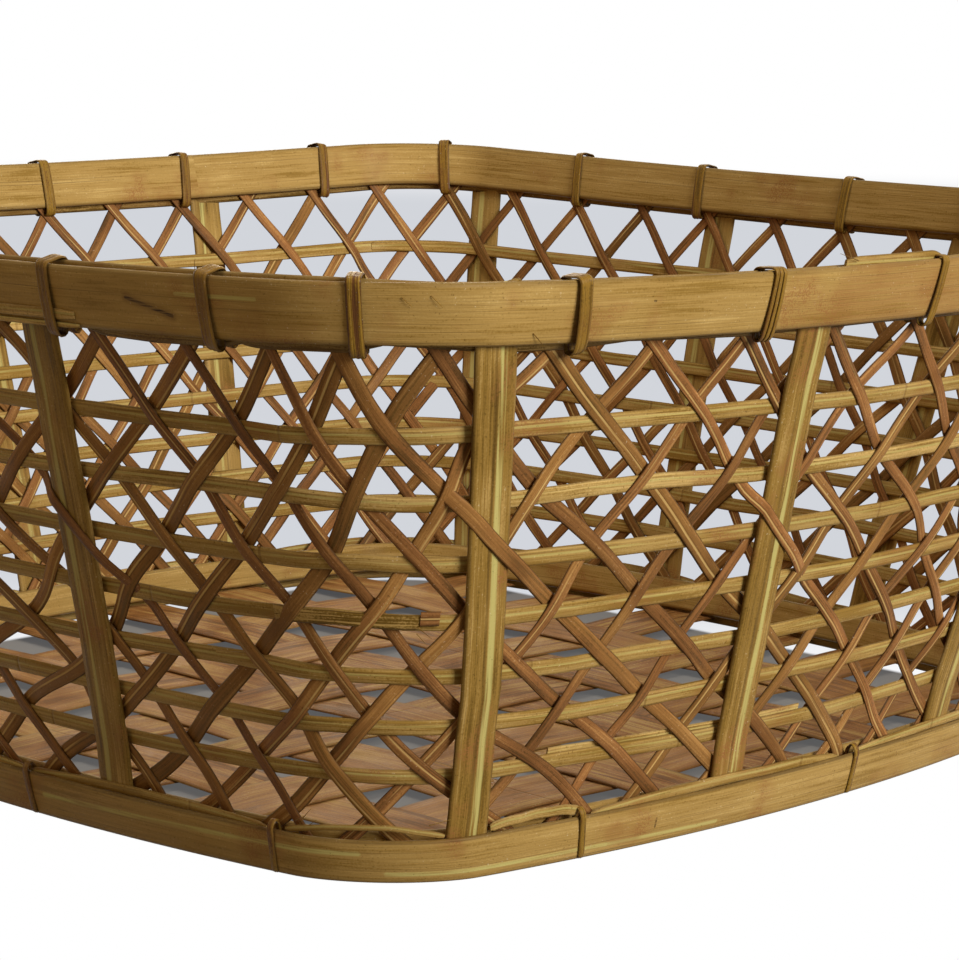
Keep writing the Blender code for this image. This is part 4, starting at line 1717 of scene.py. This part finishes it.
@dataclass
class Studio:
    """Floor, backdrop light and lamps."""

    floor_half: float = 14.0
    lamps: tuple[Lamp, ...] = (
        Lamp("key", (0.25, -2.8, 1.35), 1.5, 108.0),
        Lamp("fill", (-2.6, 0.2, 1.2), 1.6, 8.8, (1.0, 0.63, 0.22)),
        Lamp("top", (-0.5, 0.2, 2.6), 1.8, 22.0),
        Lamp("back", (1.7, 2.4, 0.75), 1.5, 30.0, (1.0, 0.8, 0.55)),
    )
    backdrop: float = 0.07
    base_half: float = 0.176
    base_round: float = 0.056
    under_share: float = 0.10
    pale_start: float = 0.0
    pale_end: tuple[float, float] = (2.2, 2.9)

    @staticmethod
    def lit_for_camera(
        tree: bpy.types.NodeTree, shader: object, output: str, colour: object, share: "Value | float" = 1.0
    ) -> None:
        """Mixes even light over a shader for camera, glossy and transmission rays.

        Args:
            tree: The shader's tree.
            shader: The shader's output.
            output: Name of the tree's output node.
            colour: The light's colour.
            share: How much of the shader it covers.
        """
        graph = Graph(tree)
        light = graph.add("ShaderNodeEmission", None, {"Color": colour, "Strength": 1.0})
        path = graph.add("ShaderNodeLightPath").outputs
        seen = Value(graph, path["Is Camera Ray"]) + Value(graph, path["Is Glossy Ray"])
        rays = (seen + Value(graph, path["Is Transmission Ray"])).clamp() * share
        both = graph.add("ShaderNodeMixShader", None, {0: rays, 1: shader, 2: light.outputs[0]})
        tree.links.new(both.outputs[0], tree.nodes[output].inputs["Surface"])

    def floor_light(self, graph: Graph) -> tuple[object, Value]:
        """The light that the camera sees on the floor, on which the basket's shadow is kept.

        Args:
            graph: The floor material's graph.

        Returns:
            Its colour, white but with a pale grey patch of painted shade behind the basket, and its share,
            small under the basket.
        """
        x, y, _ = graph.parts(graph.add("ShaderNodeTexCoord").outputs["Object"])
        flat = self.base_half - self.base_round
        over_x, over_y = ((abs(axis) - flat).then("MAXIMUM", 0.0) for axis in (x, y))
        reach = (over_x * over_x + over_y * over_y).then("SQRT")
        outside = reach.rise(self.base_round - 5 * MM, self.base_round)
        far = (x * x + y * y).then("SQRT")
        # Painted shade: a pale grey patch on the floor behind the basket, for the shade seen through the
        # weave's gaps.
        behind = ((x + y) * 0.7071).rise(self.pale_start, self.pale_start + 0.25)
        pale = behind * (1.0 - far.rise(*self.pale_end))
        lit = outside.then("MAXIMUM", self.under_share)
        return graph.mixed(pale, Tone.WHITE.linear(), Tone.MIST.linear()), lit

    def build(self) -> None:
        """Makes the floor, the world and the lamps."""
        mesh = bpy.data.meshes.new("studio_floor")
        far = self.floor_half
        mesh.from_pydata([(-far, -far, 0), (far, -far, 0), (far, far, 0), (-far, far, 0)], [], [(0, 1, 2, 3)])
        floor = bpy.data.objects.new("studio_floor", mesh)
        bpy.context.scene.collection.objects.link(floor)
        material = bpy.data.materials.new("studio_floor")
        material.use_nodes = True
        shader = material.node_tree.nodes["Principled BSDF"]
        shader.inputs["Base Color"].default_value = Tone.STONE.linear()
        shader.inputs["Roughness"].default_value = 0.9
        shader.inputs["Specular IOR Level"].default_value = 0.0
        colour, share = self.floor_light(Graph(material.node_tree))
        self.lit_for_camera(material.node_tree, shader.outputs[0], "Material Output", colour, share)
        mesh.materials.append(material)

        world = bpy.data.worlds.new("studio")
        bpy.context.scene.world = world
        world.use_nodes = True
        backdrop = world.node_tree.nodes["Background"]
        backdrop.inputs["Color"].default_value = Tone.WHITE.linear()
        backdrop.inputs["Strength"].default_value = self.backdrop
        self.lit_for_camera(world.node_tree, backdrop.outputs[0], "World Output", Tone.WHITE.linear())

        for lamp in self.lamps:
            lamp.build()


HAND_WORK = HandWork({
    0: (-0.0707, (11.5, 12.5, 8.8, 1.0, -3.9, 2.0, 0.9, 3.3, 6.0, 8.8)),
    1: (-0.0603, (9.0, 9.6, 5.4, -4.1, -6.4, 1.3, 5.9, 2.7, 5.5, 11.2)),
    2: (-0.0707, (8.7, 10.2, 8.8, 1.2, 3.2, -3.7, 5.7, 5.4, 4.9, 5.6)),
    3: (-0.0811, (5.9, 11.3, 7.6, 10.4, 3.3, 1.2, 3.2, 6.5, 9.3, 9.4, 14.5)),
    4: (-0.0290, (9.9, 7.2, 5.5, 5.1, 4.8, 5.4, 9.3, 11.1)),
    5: (-0.0811, (14.2, 10.4, 9.3, 7.9, 3.8, 9.0, 9.0, 10.8, 14.3, 14.4, 11.2)),
    6: (-0.0290, (12.0, 3.4, 2.0, 7.3, 10.6, 8.6, 13.2, 14.4)),
    7: (-0.0603, (10.4, 7.7, 5.1, 6.3, 17.3, 14.0, 16.4, 19.0, 18.2)),
})
STAKE_PLACES = (
    0.0197, 0.0950, 0.1755, 0.2530, 0.3300, 0.4054, 0.4806,
    0.5665, 0.6400, 0.7130, 0.7850, 0.8560, 0.9276,
)
LEFT_STREAKED_STAKES = (5, 9, 13)
STAKE_BENDS = {
    1: ((15, -1.2), (22, -0.3), (34, 0.9), (46, 1.4), (58, 2.7), (83, 2.9), (120, 2.6), (145, 2.3),
        (157, 1.5)),
    2: ((15, -0.3), (60, -0.5), (90, -0.8), (160, -1.5)),
    13: ((15, 0.0), (65, -0.1), (80, -0.7), (95, -1.0), (128, -2.4), (157, -2.4)),
}
ROW_DROPS = {
    1: ((-0.10, 0.8), (-0.0327, 1.2), (-0.0206, 1.9), (-0.007, 1.5), (0.0065, 1.3), (0.028, 0.3),
        (0.048, 0.2), (0.10, 0.7), (0.14, 0.4)),
    2: ((-0.09, 0.3), (-0.0265, -0.3), (-0.0128, 0.3), (0.003, 1.3), (0.028, 1.3), (0.0375, 1.0),
        (0.044, 0.5), (0.062, 0.2), (0.088, 2.0), (0.12, 2.1), (0.16, 1.0)),
    3: ((-0.09, 0.3), (-0.0176, 0.3), (-0.004, -0.2), (0.008, 0.5), (0.033, 0.8), (0.055, 1.2),
        (0.072, 1.5), (0.10, 1.6), (0.13, 2.0), (0.17, 0.8)),
    4: ((-0.05, 0.0), (-0.0103, -0.9), (0.004, 0.0), (0.044, 0.8), (0.06, 0.5), (0.10, 1.1),
        (0.13, 1.6), (0.17, 0.6)),
    5: ((-0.08, 0.0), (-0.0295, -1.4), (-0.02, -0.9), (-0.003, -0.6), (0.02, 0.4), (0.044, 1.5),
        (0.057, 1.3), (0.07, 1.4), (0.10, 2.1), (0.16, 0.8)),
    6: ((-0.07, 0.0), (-0.023, -0.3), (-0.0103, -1.0), (0.0075, -0.3), (0.032, 0.5), (0.049, 0.8),
        (0.066, 0.9), (0.10, 0.6), (0.12, 1.0), (0.17, 0.5)),
    7: ((-0.06, 0.3), (-0.0295, 0.0), (-0.0168, -0.7), (-0.003, 0.0), (0.03, 0.5), (0.045, 0.5),
        (0.06, 1.1), (0.10, 2.3), (0.13, 2.5), (0.18, 0.8)),
}
LOOSE_ENDS = (
    LooseEnd("row_7_second_strip", ROW, 7, 0.0412, 0.1180, 1.9, -0.65),
    LooseEnd("row_4_broken_end", FILLER, 4, -0.0242, 0.0072, 0.3, 0.95),
    LooseEnd("row_4_frayed_end", SPLINT, 4, 0.0074, 0.0114, 1.4, 1.3),
)
FIBRES = (
    Fibre((0.0824, 180.5), (0.0798, 186.8), 1.6, 0.8), Fibre((-0.0346, 178.2), (-0.0343, 181.6), 2.0, 0.3),
    Fibre((0.0030, 173.5), (0.0046, 171.0), -0.3, 0.5), Fibre((0.0076, 174.0), (0.0094, 170.8), -0.3, 0.6),
    Fibre((0.0068, 80.5), (0.0096, 77.0), 4.2, 0.6), Fibre((0.0066, 78.5), (0.0086, 75.2), 4.2, 0.8),
    Fibre((-0.0205, 16.5), (-0.0168, 22.5), 4.0, 1.0), Fibre((-0.0215, 17.5), (-0.0182, 20.0), 3.6, 0.8),
    Fibre((-0.0190, 15.5), (-0.0155, 19.0), 3.8, 0.8), Fibre((0.0098, 18.6), (0.0150, 20.4), 2.4, 0.6),
    Fibre((0.1020, 178.8), (0.0965, 181.4), 2.6, 0.4), Fibre((0.0262, 163.5), (0.0290, 158.2), -0.3, 1.0),
)
LASHING_PLACES = (
    0.0364, 0.0805, 0.1247, 0.1697, 0.2103, 0.2510, 0.2917, 0.3300, 0.3672, 0.4117,
    0.4499, 0.4936, 0.5316, 0.5746, 0.6166, 0.6530, 0.6925, 0.7319, 0.7713, 0.8107,
    0.8502, 0.8902, 0.9317, 0.9675, 0.9955,
)
INNER_RISES = (
    (-0.40, 0.8), (-0.01, 0.8), (0.01, -0.3), (0.13, -0.3), (0.16, 0.6), (0.59, 0.8),
)
LASHINGS = {
    1: Lashing(1.6, -1.4), 2: Lashing(0.5, -2.5, 4.6, 3), 3: Lashing(0.8, -2.2, 3.2),
    23: Lashing(1.1, 2.0), 24: Lashing(0.9, 2.9), 25: Lashing(0.5, 1.1),
}
BASE_TIE_PLACES = (
    0.0494, 0.1394, 0.2260, 0.3090, 0.3920, 0.4750, 0.5600, 0.6430, 0.7270, 0.8110, 0.8995, 0.9740,
)
RAILS = (
    Rail(-0.1005, -0.0287), Rail(-0.0234, 0.0134, 2.0, 4.6, 1.0), Rail(0.0250, 0.0489, 3.4, 4.6, 2.6),
    Rail(0.0527, 0.1340, 3.8, 3.3, 0.8), Rail(0.1402, 0.2245), Rail(0.2275, 0.3075),
    Rail(0.3105, 0.3905), Rail(0.3935, 0.4735), Rail(0.4765, 0.5585), Rail(0.5615, 0.6415),
    Rail(0.6445, 0.7255), Rail(0.7285, 0.8095), Rail(0.8125, 0.8980),
)
RIM_STRIP_ENDS = (
    StripEnd("rim_end_strip_wide", -0.1250, -0.0620, 163.6, 3.4, -0.45, 0.7),
    StripEnd("rim_end_strip_narrow", -0.1250, -0.0611, 160.6, 1.7, -0.40, 0.7),
    StripEnd("rim_raised_strip", 0.0995, 0.1290, 177.4, 5.6, 3.9, 1.2, above=True),
)
RIM_MARKS = (
    WallMark((-0.0505, 170.5), (-0.0408, 166.0), 2.2, Tone.BARK, 0.45),
    WallMark((-0.0505, 170.5), (-0.0408, 166.0), 0.8, Tone.UMBER, 0.8),
    # Painted shadow: a dark umber line all round the outer rim hoop's lower edge, over the filler strip.
    WallMark((-0.3000, 159.4), (0.3000, 159.4), 0.6, Tone.UMBER, 0.75),
    WallMark((-0.0392, 172.5), (-0.0223, 172.5), 0.8, Tone.PALE_GREEN, 0.7),
    WallMark((0.0494, 171.5), (0.0497, 171.4), 0.5, Tone.UMBER, 0.9),
    WallMark((0.0995, 169.0), (0.1600, 169.0), 15.0, Tone.RUST, 0.40),
)
BASE_MARKS = (
    WallMark((-0.0969, 8.0), (-0.0073, 10.5), 1.1, Tone.PALE_GREEN, 0.75),
    WallMark((-0.0013, 3.5), (0.0549, 3.5), 1.0, Tone.PALE_GREEN, 0.75),
    WallMark((0.0549, 3.5), (0.0892, 3.0), 0.9, Tone.PALE_GREEN, 0.65),
    WallMark((0.0691, 9.0), (0.0691, 6.0), 0.5, Tone.UMBER, 0.6),
    WallMark((0.0560, 7.0), (0.0625, 4.0), 5.0, Tone.RUST, 0.35),
    # Painted shade: a dark umber line all round the base hoop's top edge, where the rails meet it.
    WallMark((-0.3000, 14.4), (0.3000, 14.4), 0.7, Tone.UMBER, 0.4),
)


def main() -> None:
    """Builds the basket, piece by piece, and its stage."""
    CameraPlace().build()
    Studio().build()
    wall, weaver = Wall(WallSizes()), Weaver()
    HoopBands(wall, weaver).build()
    OpenWeave(wall, weaver, STAKE_PLACES, HAND_WORK).build()
    Stakes(wall, weaver, STAKE_PLACES).build()
    RimLashings(wall, weaver, LASHING_PLACES, LASHINGS).build()
    BaseTrim(wall, weaver, BASE_TIE_PLACES, RAILS).build()
    FloorStrips(wall, weaver).build()
    bpy.context.scene.view_settings.view_transform = "Standard"


if __name__ == "__main__":
    main()
